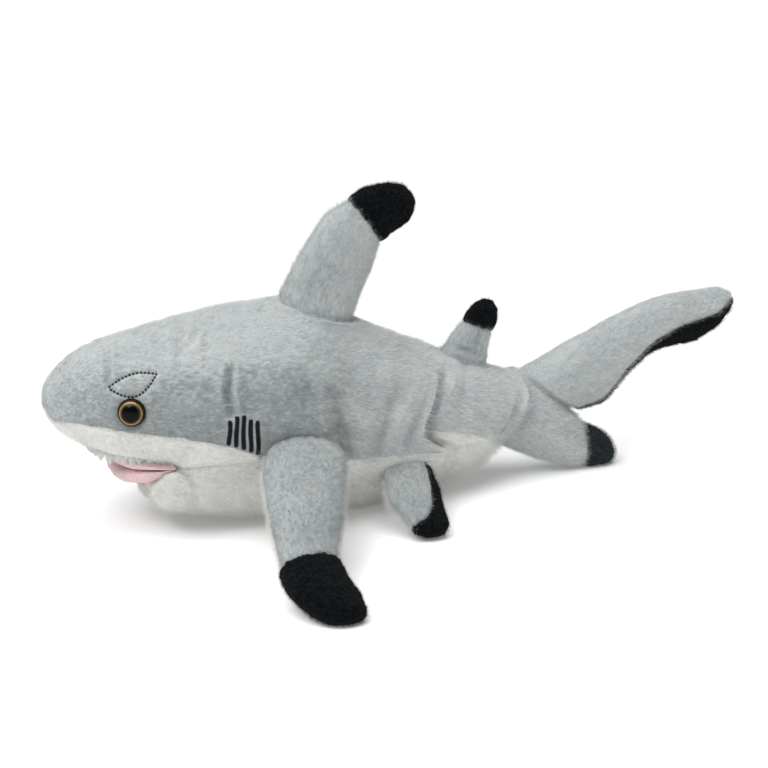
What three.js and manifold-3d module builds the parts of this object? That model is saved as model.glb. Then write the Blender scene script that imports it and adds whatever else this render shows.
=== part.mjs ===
// Stuffed plush reef shark, sewn from short-pile fabric panels around loose filling.
// Frame: millimetres, +Z up, +X towards the tail, the shark's left side at -Y.
// The origin is on the floor under the middle of the toy's box.

import * as THREE from 'three';
import { mergeVertices } from 'three/addons/utils/BufferGeometryUtils.js';
import Module from 'manifold-3d';

// ---------- driving dimensions ----------

const FABRIC = 2.4; // plush cloth with its pile
const GAP = 0.3; // clearance between pieces that touch on the real toy
const THREAD_HEIGHT = 0.8; // how far an embroidered thread stands proud
const FILLING_DEPTH = 4.2; // the loose filling starts this far under the outside of the body skin
const FILLING_SQUARENESS = 2.1; // it doesn't fill the sharp corners of the upper jaw
const FILLING_SIDES = 18;

// Body sections: x, top, widest height, bottom, half width, squareness of the lower half (2 is an ellipse).
const BODY = [
  [-169.0, 66.3, 65.0, 63.7, 1.4, 2.0],
  [-167.2, 70.3, 64.8, 59.6, 6.5, 2.0],
  [-163.5, 74.0, 64.2, 55.0, 12.0, 2.1],
  [-153.0, 82.3, 62.5, 45.5, 20.5, 2.6],
  [-147.0, 85.2, 61.3, 40.6, 24.0, 3.2],
  [-141.0, 87.2, 60.2, 38.6, 27.0, 3.6],
  [-129.0, 90.2, 57.6, 38.0, 32.3, 4.0],
  [-119.0, 92.2, 55.4, 38.0, 36.2, 4.0],
  [-117.5, 92.5, 55.1, 38.0, 36.6, 3.6],
  [-113.0, 93.4, 54.0, 9.5, 38.0, 2.3],
  [-98.0, 95.7, 52.0, 5.5, 42.0, 2.2],
  [-82.0, 97.6, 50.0, 2.0, 44.5, 2.1],
  [-64.0, 98.4, 49.0, -0.6, 45.5, 2.1],
  [-45.0, 95.5, 47.0, -1.8, 44.5, 2.1],
  [-26.0, 86.6, 42.5, -1.8, 42.0, 2.1],
  [-10.0, 77.9, 38.5, -1.0, 38.5, 2.1],
  [2.0, 71.5, 36.2, 1.0, 35.0, 2.0],
  [14.0, 66.0, 34.8, 3.6, 30.5, 2.0],
  [26.0, 61.2, 33.6, 6.0, 26.5, 2.0],
  [40.0, 56.4, 32.9, 9.4, 21.0, 2.0],
  [52.0, 53.0, 33.4, 13.8, 17.0, 2.0],
  [62.0, 50.8, 33.9, 17.0, 14.0, 2.0],
];

// Where the grey back meets the white underside: x, height.
const COLOUR_LINE = [
  [-169.0, 64.0],
  [-165.5, 60.2],
  [-151.0, 58.0],
  [-141.0, 55.3],
  [-119.0, 52.6],
  [-107.0, 49.6],
  [-97.0, 47.6],
  [-86.0, 43.2],
  [-60.0, 37.5],
  [-43.0, 34.2],
  [-17.0, 32.0],
  [10.0, 28.6],
];
const TAIL_COLOUR_LINE = [
  [10.0, 40.2],
  [26.0, 32.8],
  [44.0, 23.6],
  [60.0, 18.6],
];

// Height of the seam between the upper jaw band and the throat: x, height.
const JAW_SEAM = [
  [-117.5, 43.0],
  [-113.0, 40.5],
  [-105.0, 39.2],
  [-82.0, 38.8],
];
const JAW_SEAM_RELIEF = 1.2; // the seam allowance that the band leaves free, degrees

const MOUTH_BACK_X = -119.0; // the palate ends here
const THROAT_X = -117.5; // the throat wall starts here
const FILLING_START_X = -158.0; // the filling stops short of the thin nose
const MUZZLE_END_X = -82.0; // the upper jaw band ends at the last gill
const WAIST_X = 10.0; // fold where the tail bends
const SLEEVE_X = 60.0; // seam where the tail fin is sewn on
const WAIST_WEDGE = THREE.MathUtils.degToRad(9.5); // relief on each side of the fold
const SLEEVE_WEDGE = THREE.MathUtils.degToRad(13); // relief on each side of the seam

const EYE = { x: -136.6, z: 64.0, radius: 6.3, dome: 4.2, shankRadius: 2.0, shankLength: 8.5 };
const WASHER = { radius: 5.5, thickness: 1.4 };
const GILL = { firstX: -96.3, pitch: 3.1, width: 1.7 };
const GILL_SPANS = [[59.6, 48.2], [61.2, 47.2], [61.4, 45.8], [59.4, 44.4], [58.6, 43.0]]; // heights
const BROW = { frontX: -145, backX: -124, frontZ: 74, backZ: 79.6, rise: 2.6, drop: 5.2 };

const HINGE_LIFT = 2.0; // the seam that a fin turns about stands this far off the body skin

// ---------- colours ----------

const GREY_PLUSH = new THREE.MeshStandardMaterial({ color: 0xa6aeb0, roughness: 0.95, metalness: 0 });
const WHITE_PLUSH = new THREE.MeshStandardMaterial({ color: 0xe6e7e1, roughness: 0.95, metalness: 0 });
const BLACK_FLEECE = new THREE.MeshStandardMaterial({ color: 0x14181b, roughness: 1, metalness: 0 });
const PINK_VELOUR = new THREE.MeshStandardMaterial({ color: 0xe0b4b9, roughness: 0.8, metalness: 0 });
const BLACK_THREAD = new THREE.MeshStandardMaterial({ color: 0x0e1112, roughness: 0.6, metalness: 0 });
const GREY_THREAD = new THREE.MeshStandardMaterial({ color: 0x474f50, roughness: 0.7, metalness: 0 });
const EYE_PLASTIC = new THREE.MeshStandardMaterial({ color: 0x6b5526, roughness: 0.1, metalness: 0 });
const WASHER_PLASTIC = new THREE.MeshStandardMaterial({ color: 0xdcdcd6, roughness: 0.5, metalness: 0 });
const FILLING = new THREE.MeshStandardMaterial({ color: 0xf4f4f2, roughness: 1, metalness: 0 });

// ---------- general helpers ----------

const shark = new THREE.Group();

function addPiece(name, geometry, material) {
  const mesh = new THREE.Mesh(geometry, material.clone());
  mesh.name = name;
  shark.add(mesh);
}

const mix = THREE.MathUtils.lerp;
const radians = THREE.MathUtils.degToRad;

// Smooth curve through rows of [x, value, ...], with no overshoot between rows.
function readCurve(rows, x, column) {
  const last = rows.length - 1;
  const at = Math.min(Math.max(x, rows[0][0]), rows[last][0]);
  let i = 0;
  while (i < last - 1 && at > rows[i + 1][0]) {
    i += 1;
  }
  const slope = (k) => (rows[k + 1][column] - rows[k][column]) / (rows[k + 1][0] - rows[k][0]);
  const tangent = (k) => {
    if (k === 0 || k === last) {
      return slope(k === 0 ? 0 : last - 1);
    }
    const before = slope(k - 1);
    const after = slope(k);
    return before * after <= 0 ? 0 : (2 * before * after) / (before + after);
  };
  const width = rows[i + 1][0] - rows[i][0];
  const t = (at - rows[i][0]) / width;
  const t2 = t * t;
  const t3 = t2 * t;
  return (2 * t3 - 3 * t2 + 1) * rows[i][column]
    + (t3 - 2 * t2 + t) * width * tangent(i)
    + (3 * t2 - 2 * t3) * rows[i + 1][column]
    + (t3 - t2) * width * tangent(i + 1);
}

// A closed body from positions and triangles, turned so that its faces point out.
function closedGeometry(points, triangles) {
  const geometry = new THREE.BufferGeometry();
  const positions = new Float32Array(points.flatMap((p) => [p.x, p.y, p.z]));
  let volume = 0;
  for (const [a, b, c] of triangles) {
    volume += points[a].dot(points[b].clone().cross(points[c]));
  }
  const index = triangles.flatMap(([a, b, c]) => (volume > 0 ? [a, b, c] : [a, c, b]));
  geometry.setAttribute('position', new THREE.BufferAttribute(positions, 3));
  geometry.setIndex(index);
  return geometry;
}

// A curved sheet with thickness: outer and inner give the point at row i and column j.
function sheetSolid(rows, columns, outer, inner) {
  const points = [];
  for (const side of [outer, inner]) {
    for (let i = 0; i <= rows; i += 1) {
      for (let j = 0; j <= columns; j += 1) {
        points.push(side(i, j));
      }
    }
  }
  const layer = (rows + 1) * (columns + 1);
  const at = (k, i, j) => k * layer + i * (columns + 1) + j;
  const triangles = [];
  const quad = (a, b, c, d) => triangles.push([a, b, c], [a, c, d]);
  for (let i = 0; i < rows; i += 1) {
    for (let j = 0; j < columns; j += 1) {
      quad(at(0, i, j), at(0, i + 1, j), at(0, i + 1, j + 1), at(0, i, j + 1));
      quad(at(1, i, j), at(1, i, j + 1), at(1, i + 1, j + 1), at(1, i + 1, j));
    }
    quad(at(0, i + 1, 0), at(0, i, 0), at(1, i, 0), at(1, i + 1, 0));
    quad(at(0, i, columns), at(0, i + 1, columns), at(1, i + 1, columns), at(1, i, columns));
  }
  for (let j = 0; j < columns; j += 1) {
    quad(at(0, 0, j), at(0, 0, j + 1), at(1, 0, j + 1), at(1, 0, j));
    quad(at(0, rows, j + 1), at(0, rows, j), at(1, rows, j), at(1, rows, j + 1));
  }
  return closedGeometry(points, triangles);
}

// A closed body through rings of equal length, with a flat fan over each end.
function ringSolid(rings) {
  const sides = rings[0].length;
  const points = rings.flat();
  const triangles = [];
  for (let i = 0; i < rings.length - 1; i += 1) {
    for (let j = 0; j < sides; j += 1) {
      const k = (j + 1) % sides;
      const low = i * sides;
      const high = low + sides;
      triangles.push([low + j, low + k, high + k], [low + j, high + k, high + j]);
    }
  }
  for (const [ring, flip] of [[0, true], [rings.length - 1, false]]) {
    const centre = new THREE.Vector3();
    rings[ring].forEach((p) => centre.add(p));
    centre.divideScalar(sides);
    const hub = points.push(centre) - 1;
    for (let j = 0; j < sides; j += 1) {
      const a = ring * sides + j;
      const b = ring * sides + ((j + 1) % sides);
      triangles.push(flip ? [hub, b, a] : [hub, a, b]);
    }
  }
  return closedGeometry(points, triangles);
}

// A closed loop of thread with a square section: points on the cloth and the cloth's normals.
function threadLoop(points, normals, width, height) {
  const count = points.length;
  const corners = [];
  points.forEach((point, i) => {
    const along = points[(i + 1) % count].clone().sub(points[(i + count - 1) % count]);
    const across = along.cross(normals[i]).normalize();
    for (const [side, lift] of [[-1, 0], [1, 0], [1, 1], [-1, 1]]) {
      const corner = point.clone().addScaledVector(across, side * width / 2);
      corners.push(corner.addScaledVector(normals[i], GAP + lift * height));
    }
  });
  const triangles = [];
  for (let i = 0; i < count; i += 1) {
    const next = (i + 1) % count;
    for (let j = 0; j < 4; j += 1) {
      const k = (j + 1) % 4;
      triangles.push([i * 4 + j, next * 4 + j, next * 4 + k], [i * 4 + j, next * 4 + k, i * 4 + k]);
    }
  }
  return closedGeometry(corners, triangles);
}

const wasm = await Module();
wasm.setup();

function toSolid(geometry) {
  const bare = geometry.clone();
  bare.deleteAttribute('normal');
  bare.deleteAttribute('uv');
  const merged = mergeVertices(bare);
  const vertProperties = new Float32Array(merged.attributes.position.array);
  const triVerts = new Uint32Array(merged.index.array);
  return new wasm.Manifold(new wasm.Mesh({ numProp: 3, vertProperties, triVerts }));
}

function fromSolid(solid) {
  const mesh = solid.getMesh();
  const geometry = new THREE.BufferGeometry();
  geometry.setAttribute('position', new THREE.BufferAttribute(new Float32Array(mesh.vertProperties), 3));
  geometry.setIndex(Array.from(mesh.triVerts));
  return geometry;
}

// ---------- body skin ----------

function bodySection(x) {
  const top = readCurve(BODY, x, 1);
  const bottom = readCurve(BODY, x, 3);
  const widest = readCurve(BODY, x, 2);
  return {
    widest,
    above: top - widest,
    below: widest - bottom,
    wide: readCurve(BODY, x, 4),
    square: readCurve(BODY, x, 5),
  };
}

// A point on the skin: angle is in degrees from the top, positive round the left side (-Y).
// depth moves it inwards. The belly is pressed flat where it rests on the floor.
// mostSquare limits how boxy the lower half may be.
function skinPoint(x, angle, depth = 0, mostSquare = 4) {
  const section = bodySection(x);
  const turn = radians(angle);
  const least = 0.4;
  const below = Math.cos(turn) < 0;
  const high = Math.max((below ? section.below : section.above) - depth, least);
  const wide = Math.max(section.wide - depth, least);
  const power = below ? 2 / Math.min(section.square, mostSquare) : 1;
  const side = Math.sign(Math.sin(turn)) * Math.abs(Math.sin(turn)) ** power;
  const rise = Math.sign(Math.cos(turn)) * Math.abs(Math.cos(turn)) ** power;
  return new THREE.Vector3(x, -wide * side, Math.max(section.widest + high * rise, depth));
}

// The angle at which the skin of a section reaches a height.
function angleAtHeight(x, z) {
  const section = bodySection(x);
  const share = z - section.widest;
  if (share >= 0) {
    return THREE.MathUtils.radToDeg(Math.acos(Math.min(share / section.above, 1)));
  }
  const rise = Math.min(-share / section.below, 1) ** (section.square / 2);
  return 180 - THREE.MathUtils.radToDeg(Math.acos(rise));
}

function skinNormal(x, angle) {
  const step = 0.5;
  const along = skinPoint(x + step, angle).sub(skinPoint(x - step, angle));
  const round = skinPoint(x, angle + step).sub(skinPoint(x, angle - step));
  return along.cross(round).normalize().multiplyScalar(-1);
}

function halfGapAngle(x) {
  const section = bodySection(x);
  return THREE.MathUtils.radToDeg((GAP * 0.6) / Math.sqrt(section.above * section.wide));
}

// Rows of the body loft, from the nose to the waist fold.
const BODY_ROWS = [
  -169, -167.2, -163.5, -158, -153, -147, -141, -135, -129, MOUTH_BACK_X, THROAT_X, -115.3, -113,
  -105, -98, -90, MUZZLE_END_X, -73, -64, -54, -45, -35, -26, -18, -10, -2, WAIST_X,
];
const TAIL_ROWS = [WAIST_X, 17, 26, 33, 40, 50, SLEEVE_X];

// Moves the ends of a body section back from a bending line, so that both sides can swing.
function wedgedX(x, y, first, last, firstWedge, lastWedge) {
  const share = (x - first) / (last - first);
  const frontShift = firstWedge === null ? 0 : GAP / 2 + Math.abs(y) * Math.tan(firstWedge);
  const backShift = lastWedge === null ? 0 : GAP / 2 + Math.abs(y) * Math.tan(lastWedge);
  return x + frontShift * (1 - share) ** 4 - backShift * share ** 4;
}

// A panel between two angle curves over some rows. shape holds the whole section's ends.
function bodyPanel(rows, shape, from, to, columns, mirror) {
  const keepOffMiddle = GAP / 2;
  const noseDepth = FABRIC * 0.9;
  const place = (i, j, depth) => {
    const nominal = rows[i];
    const start = from(nominal) + halfGapAngle(nominal);
    const end = to(nominal) - halfGapAngle(nominal);
    const inside = depth > 0 && nominal < BODY[2][0];
    const x = inside ? nominal + noseDepth * (BODY[2][0] - nominal) / (BODY[2][0] - BODY[0][0]) : nominal;
    const point = skinPoint(x, mix(start, end, j / columns), depth);
    if (mirror !== 0) {
      point.y = -Math.max(Math.abs(point.y), keepOffMiddle);
    }
    point.x = wedgedX(x, point.y, shape.first, shape.last, shape.firstWedge, shape.lastWedge);
    if (mirror > 0) {
      point.y = -point.y;
    }
    return point;
  };
  return sheetSolid(
    rows.length - 1,
    columns,
    (i, j) => place(i, j, 0),
    (i, j) => place(i, j, FABRIC),
  );
}

function bodyFilling(rows, shape, sides) {
  const rings = rows.map((x) => Array.from({ length: sides }, (_, j) => {
    const point = skinPoint(x, (j / sides) * 360, FILLING_DEPTH, FILLING_SQUARENESS);
    point.x = wedgedX(x, point.y, shape.first, shape.last, shape.firstWedge, shape.lastWedge);
    return point;
  }));
  return ringSolid(rings);
}

const TRUNK_SHAPE = { first: BODY[0][0], last: WAIST_X, firstWedge: null, lastWedge: WAIST_WEDGE };
const TAIL_SHAPE = { first: WAIST_X, last: SLEEVE_X, firstWedge: WAIST_WEDGE, lastWedge: SLEEVE_WEDGE };

const colourLine = (x) => angleAtHeight(x, readCurve(COLOUR_LINE, x, 1));
const tailColourLine = (x) => angleAtHeight(x, readCurve(TAIL_COLOUR_LINE, x, 1));
const topLine = () => 0;
const jawSeam = (x) => angleAtHeight(x, readCurve(JAW_SEAM, x, 1));
const muzzleEdge = (x) => (x <= MOUTH_BACK_X ? 180 : jawSeam(x) - JAW_SEAM_RELIEF);
const bellyEdge = (x) => (x <= MUZZLE_END_X ? jawSeam(x) : colourLine(x));

function between(rows, low, high) {
  return rows.filter((x) => x >= low && x <= high);
}

// ---------- eyes ----------

function eyeFrame(side) {
  const angle = angleAtHeight(EYE.x, EYE.z);
  const seat = skinPoint(EYE.x, angle);
  const normal = skinNormal(EYE.x, angle);
  seat.y *= side;
  normal.y *= side;
  return { seat, normal };
}

// Places a lathed piece whose axis is +Y in its own frame on the cloth, facing out.
function seatOnEye(geometry, side) {
  const { seat, normal } = eyeFrame(side);
  const turn = new THREE.Quaternion().setFromUnitVectors(new THREE.Vector3(0, 1, 0), normal);
  geometry.applyQuaternion(turn);
  geometry.translate(seat.x, seat.y, seat.z);
  return geometry;
}

function eyeProfile(grow) {
  const steps = 5;
  const dome = Array.from({ length: steps + 1 }, (_, i) => {
    const turn = (i / steps) * (Math.PI / 2);
    return new THREE.Vector2(
      (EYE.radius + grow) * Math.cos(turn),
      GAP + 0.8 + (EYE.dome - 0.8 + grow) * Math.sin(turn),
    );
  });
  dome[steps].x = 0;
  return [
    new THREE.Vector2(0, -EYE.shankLength - grow),
    new THREE.Vector2(EYE.shankRadius + grow, -EYE.shankLength - grow),
    new THREE.Vector2(EYE.shankRadius + grow, GAP - grow),
    new THREE.Vector2(EYE.radius + grow, GAP - grow),
    ...dome,
  ];
}

function washerProfile(grow) {
  const top = -FABRIC - 1.1;
  const hole = EYE.shankRadius + GAP;
  const outer = WASHER.radius + grow;
  if (grow > 0) {
    return [
      new THREE.Vector2(0, top - WASHER.thickness - grow),
      new THREE.Vector2(outer, top - WASHER.thickness - grow),
      new THREE.Vector2(outer, top + grow),
      new THREE.Vector2(0, top + grow),
    ];
  }
  return [
    new THREE.Vector2(hole, top - WASHER.thickness),
    new THREE.Vector2(outer, top - WASHER.thickness),
    new THREE.Vector2(outer, top),
    new THREE.Vector2(hole, top),
    new THREE.Vector2(hole, top - WASHER.thickness),
  ];
}

const EYE_SIDES = 18;
const lathe = (profile) => new THREE.LatheGeometry(profile, EYE_SIDES);

// ---------- fins ----------

// A fin is a row of sections. Each has a leading and a trailing edge point and a half thickness;
// across is the direction of its thickness.
function finRing(section, across, inset, angles) {
  const centre = section.lead.clone().add(section.trail).multiplyScalar(0.5);
  const chord = section.trail.clone().sub(section.lead).multiplyScalar(0.5);
  const least = 0.15;
  const long = Math.max(chord.length() - inset, least);
  const thick = Math.max(section.thick - inset, least);
  chord.setLength(long);
  return angles.map((turn) => centre.clone()
    .addScaledVector(chord, Math.cos(turn))
    .addScaledVector(across, thick * Math.sin(turn)));
}

function halfTurn(columns, side, gapAngle) {
  return Array.from({ length: columns + 1 }, (_, j) => {
    const turn = mix(gapAngle, Math.PI - gapAngle, j / columns);
    return side > 0 ? turn : -turn;
  });
}

function fullTurn(sides) {
  return Array.from({ length: sides }, (_, j) => (j / sides) * 2 * Math.PI);
}

function finSide(sections, across, side) {
  const columns = 8;
  const angles = halfTurn(columns, side, 0.06);
  const outer = sections.map((s) => finRing(s, across, 0, angles));
  const inner = sections.map((s) => finRing(s, across, Math.min(FABRIC, s.thick * 0.9), angles));
  return sheetSolid(sections.length - 1, columns, (i, j) => outer[i][j], (i, j) => inner[i][j]);
}

// The cover over a fin's tip: a cup open towards the root.
function finTip(sections, across) {
  const sides = 16;
  const angles = fullTurn(sides);
  const inside = sections.slice(0, -1);
  const rings = [
    ...inside.map((s) => finRing(s, across, Math.min(FABRIC, s.thick * 0.6), angles)).reverse(),
    ...sections.map((s) => finRing(s, across, 0, angles)),
  ];
  return ringSolid(rings);
}

function finFilling(sections, across) {
  const angles = fullTurn(12);
  return ringSolid(sections.map((s) => finRing(s, across, FABRIC + GAP, angles)));
}

// Moves a section a little way towards another, to leave a gap at the tip cover's seam.
function towards(section, next, distance) {
  const share = distance / section.lead.distanceTo(next.lead);
  return {
    lead: section.lead.clone().lerp(next.lead, share),
    trail: section.trail.clone().lerp(next.trail, share),
    thick: mix(section.thick, next.thick, share),
  };
}

function addFin(name, sections, across, seam, faces, colours) {
  const body = sections.slice(0, seam + 1);
  body[seam] = towards(sections[seam], sections[seam - 1], GAP);
  const tip = sections.slice(seam);
  addPiece(`${name}_${faces[0]}_panel`, finSide(body, across, 1), colours[0]);
  addPiece(`${name}_${faces[1]}_panel`, finSide(body, across, -1), colours[1]);
  addPiece(`${name}_tip_cover`, finTip(tip, across), BLACK_FLEECE);
  const core = sections.slice(1, -1);
  addPiece(`${name}_filling`, finFilling(core, across), FILLING);
}

const vector = (x, y, z) => new THREE.Vector3(x, y, z);

// Upright fins stand in the plane y = 0. Rows: lead x, lead z, trail x, trail z, half thickness.
function uprightFin(rows) {
  return rows.map(([leadX, leadZ, trailX, trailZ, thick]) => ({
    lead: vector(leadX, 0, leadZ),
    trail: vector(trailX, 0, trailZ),
    thick,
  }));
}

// Side fins slope from the body down to the floor. Rows: reach along the fin, lead x, trail x,
// half thickness. root is the seam's place, slope its fall below level.
function sideFin(rows, root, slope, side) {
  const out = vector(0, -Math.cos(slope) * side, -Math.sin(slope));
  return rows.map(([reach, leadX, trailX, thick]) => {
    const base = vector(0, root.y * side, root.z).addScaledVector(out, reach);
    return {
      lead: base.clone().setX(leadX),
      trail: base.clone().setX(trailX),
      thick,
    };
  });
}

const sideFinAcross = (slope, side) => vector(0, -Math.sin(slope) * side, Math.cos(slope));

const DORSAL = [
  [-58.0, 99.0 + HINGE_LIFT, -24.5, 88.2 + HINGE_LIFT, 1.6],
  [-56.5, 105.5, -21.0, 95.0, 8.8],
  [-51.5, 114.5, -17.8, 104.5, 8.6],
  [-44.0, 126.5, -14.2, 112.0, 7.6],
  [-35.6, 137.0, -12.8, 117.0, 7.2],
  [-25.3, 142.4, -10.7, 121.3, 6.8],
  [-18.0, 146.0, -7.6, 124.6, 6.4],
  [-9.5, 147.4, -1.0, 128.6, 5.6],
  [0.0, 146.2, 4.4, 133.6, 4.0],
  [4.6, 142.6, 6.2, 138.0, 1.6],
];
const DORSAL_SEAM = 5;

const SECOND_DORSAL = [
  [20.5, 65.0 + HINGE_LIFT, 40.5, 58.3 + HINGE_LIFT, 1.4],
  [22.2, 71.4, 43.0, 63.6, 5.2],
  [25.6, 75.8, 44.0, 68.0, 5.0],
  [30.6, 79.4, 45.6, 73.0, 4.6],
  [32.0, 83.6, 46.8, 77.6, 4.2],
  [36.2, 87.8, 46.8, 83.4, 3.4],
  [40.4, 88.8, 44.4, 87.2, 1.4],
];
const SECOND_DORSAL_SEAM = 3;

const PECTORAL_ROOT = { y: -45.6 - HINGE_LIFT, z: 44.5 };
const PECTORAL_SLOPE = radians(23.6);
const PECTORAL = [
  [-1.0, -81.5, -48.5, 1.6],
  [7.5, -84.2, -48.0, 8.6],
  [24.0, -88.5, -52.5, 9.2],
  [45.0, -92.2, -60.5, 8.6],
  [70.0, -95.6, -69.6, 7.2],
  [80.0, -96.0, -70.5, 6.6],
  [92.0, -92.5, -68.5, 6.0],
  [101.0, -85.0, -68.5, 4.4],
  [104.5, -80.0, -72.0, 1.6],
];
const PECTORAL_SEAM = 4;

const PELVIC_ROOT = { y: -37.0 - HINGE_LIFT, z: 24.0 };
const PELVIC_SLOPE = radians(38);
const PELVIC = [
  [-1.0, -22.0, -1.5, 1.4],
  [5.0, -24.0, -0.6, 4.8],
  [12.0, -24.6, -0.2, 5.0],
  [22.0, -22.0, 0.2, 4.6],
  [30.0, -18.0, 0.2, 3.8],
  [35.0, -13.0, -3.0, 1.8],
];
const PELVIC_SEAM = 3;

// ---------- tail fin ----------

const CAUDAL_UPPER = [
  [58.0, 51.4, 58.0, 24.0, 14.6],
  [63.0, 51.8, 64.0, 25.0, 13.4],
  [74.0, 58.0, 84.0, 29.0, 10.4],
  [89.8, 65.6, 99.0, 31.0, 9.0],
  [106.0, 72.4, 116.4, 46.6, 8.0],
  [122.4, 78.4, 131.0, 55.2, 7.0],
  [139.0, 81.4, 148.6, 57.4, 6.0],
  [157.5, 82.2, 162.0, 64.0, 4.6],
  [167.6, 79.8, 169.0, 72.6, 2.4],
];
const CAUDAL_LOWER = [
  [58.0, 42.0, 58.0, 16.6, 14.2],
  [63.0, 42.0, 63.5, 12.4, 13.2],
  [74.0, 36.0, 75.0, 4.0, 10.6],
  [84.5, 27.5, 84.5, 0.6, 9.2],
  [92.0, 20.6, 92.5, 0.0, 8.2],
  [101.0, 15.8, 101.0, 0.2, 6.6],
  [106.0, 10.6, 106.5, 1.2, 4.6],
  [108.0, 7.0, 108.2, 3.8, 2.2],
];
const CAUDAL_TIP = { x: 92.5, top: 24, lean: 0.12 }; // where the black lower tip starts
const CAUDAL_TRIM_ROW = 3; // the black strip starts at this row of the upper lobe
const CAUDAL_TRIM_WIDTHS = [1.6, 2.4, 4.4, 10.0, 8.6, 4.0]; // its width at that row and the next ones
const CAUDAL_TRIM_CUT = { past: 8, rise: 3, farX: 186, farZ: 40, drop: 12, depth: 60 };
const SLEEVE_FILLING_GAP = 2; // the tail fin's filling stops short of the sleeve seam

const UPRIGHT = vector(0, 1, 0);
const BIG = 400;

function caudalLobe(rows, inset) {
  const angles = fullTurn(16);
  const cut = inset === 0 ? rows : rows.slice(0, -1);
  return toSolid(ringSolid(uprightFin(cut).map((s) => finRing(s, UPRIGHT, inset, angles))));
}

function caudalForm(inset) {
  return caudalLobe(CAUDAL_UPPER, inset).add(caudalLobe(CAUDAL_LOWER, inset));
}

// A big box with one face through a point, on the side that the direction points to.
function halfSpace(through, direction) {
  const box = new THREE.BoxGeometry(BIG, BIG, BIG);
  box.translate(BIG / 2, 0, 0);
  box.applyQuaternion(new THREE.Quaternion().setFromUnitVectors(vector(1, 0, 0), direction));
  box.translate(through.x, through.y, through.z);
  return toSolid(box);
}

// Everything ahead of the sleeve seam's relief, on both sides.
function sleeveRelief(extra) {
  const at = vector(SLEEVE_X + GAP / 2 + extra, 0, 0);
  const lean = Math.tan(SLEEVE_WEDGE);
  const left = halfSpace(at, vector(-1, -lean, 0).normalize());
  const right = halfSpace(at, vector(-1, lean, 0).normalize());
  return left.add(right);
}

// The strip behind the upper lobe's trailing edge, from the notch to the tip.
function trimCutter(shift) {
  const rows = CAUDAL_UPPER.slice(CAUDAL_TRIM_ROW);
  const edge = rows.map(([leadX, leadZ, trailX, trailZ], i) => {
    const inward = vector(leadX - trailX, 0, leadZ - trailZ).normalize();
    return vector(trailX, 0, trailZ).addScaledVector(inward, CAUDAL_TRIM_WIDTHS[i] + shift);
  });
  const shape = new THREE.Shape();
  edge.forEach((p, i) => (i === 0 ? shape.moveTo(p.x, p.z) : shape.lineTo(p.x, p.z)));
  const end = edge[edge.length - 1];
  shape.lineTo(end.x + CAUDAL_TRIM_CUT.past, end.z + CAUDAL_TRIM_CUT.rise);
  shape.lineTo(CAUDAL_TRIM_CUT.farX, CAUDAL_TRIM_CUT.farZ);
  shape.lineTo(edge[0].x + CAUDAL_TRIM_CUT.rise - shift, edge[0].z - CAUDAL_TRIM_CUT.drop);
  const cutter = new THREE.ExtrudeGeometry(shape, { depth: CAUDAL_TRIM_CUT.depth, bevelEnabled: false });
  cutter.rotateX(Math.PI / 2);
  cutter.translate(0, CAUDAL_TRIM_CUT.depth / 2, 0);
  return toSolid(cutter);
}

function addCaudal() {
  const outer = caudalForm(0).subtract(sleeveRelief(0));
  const shell = outer.subtract(caudalForm(FABRIC));
  const behindTip = vector(1, 0, CAUDAL_TIP.lean).normalize();
  const aboveTip = halfSpace(vector(0, 0, CAUDAL_TIP.top), vector(0, 0, 1));
  const lowerTip = (shift) => halfSpace(vector(CAUDAL_TIP.x + shift, 0, 0), behindTip).subtract(aboveTip);
  const cloth = shell.subtract(lowerTip(-GAP)).subtract(trimCutter(GAP));
  const nothingRight = halfSpace(vector(0, -GAP / 2, 0), vector(0, 1, 0));
  const nothingLeft = halfSpace(vector(0, GAP / 2, 0), vector(0, -1, 0));
  addPiece('caudal_left_panel', fromSolid(cloth.subtract(nothingRight)), GREY_PLUSH);
  addPiece('caudal_right_panel', fromSolid(cloth.subtract(nothingLeft)), GREY_PLUSH);
  addPiece('caudal_upper_trim', fromSolid(shell.intersect(trimCutter(0))), BLACK_FLEECE);
  addPiece('caudal_lower_tip', fromSolid(shell.intersect(lowerTip(0))), BLACK_FLEECE);
  const core = caudalForm(FABRIC + GAP).subtract(sleeveRelief(SLEEVE_FILLING_GAP));
  addPiece('caudal_filling', fromSolid(core), FILLING);
}

// ---------- mouth ----------

// Flat D-shaped pads, stacked: rows of z, reach forward of the back plane, half width.
function mouthPad(rows, backX) {
  const steps = 12;
  return ringSolid(rows.map(([z, reach, half]) => {
    const front = Array.from({ length: steps + 1 }, (_, i) => {
      const turn = mix(-Math.PI / 2, Math.PI / 2, i / steps);
      return vector(backX - reach * Math.cos(turn), half * Math.sin(turn), z);
    });
    return front;
  }));
}

const UPPER_LIP = [
  [33.4, 17.0, 26.0],
  [34.6, 19.5, 28.0],
  [37.5, 20.0, 29.0],
];
const LOWER_LIP = [
  [22.2, 11.5, 19.0],
  [24.0, 17.0, 23.0],
  [28.0, 20.5, 26.5],
  [31.4, 20.5, 27.0],
  [33.1, 18.0, 25.5],
];
const CHIN = [
  [11.0, 2.2, 13.0],
  [15.0, 4.2, 18.0],
  [19.0, 8.0, 21.0],
  [21.8, 10.5, 21.0],
];
const JAW_BACK_X = -118.6;

// Felt teeth: a zigzag strip that hangs from the edge of the upper jaw.
const TEETH = {
  top: 37.6,
  root: 36.2,
  tip: 33.6,
  frontRise: 2.0,
  thick: 1.3,
  reach: 26.5,
  half: 32.3,
  count: 17,
};

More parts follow.
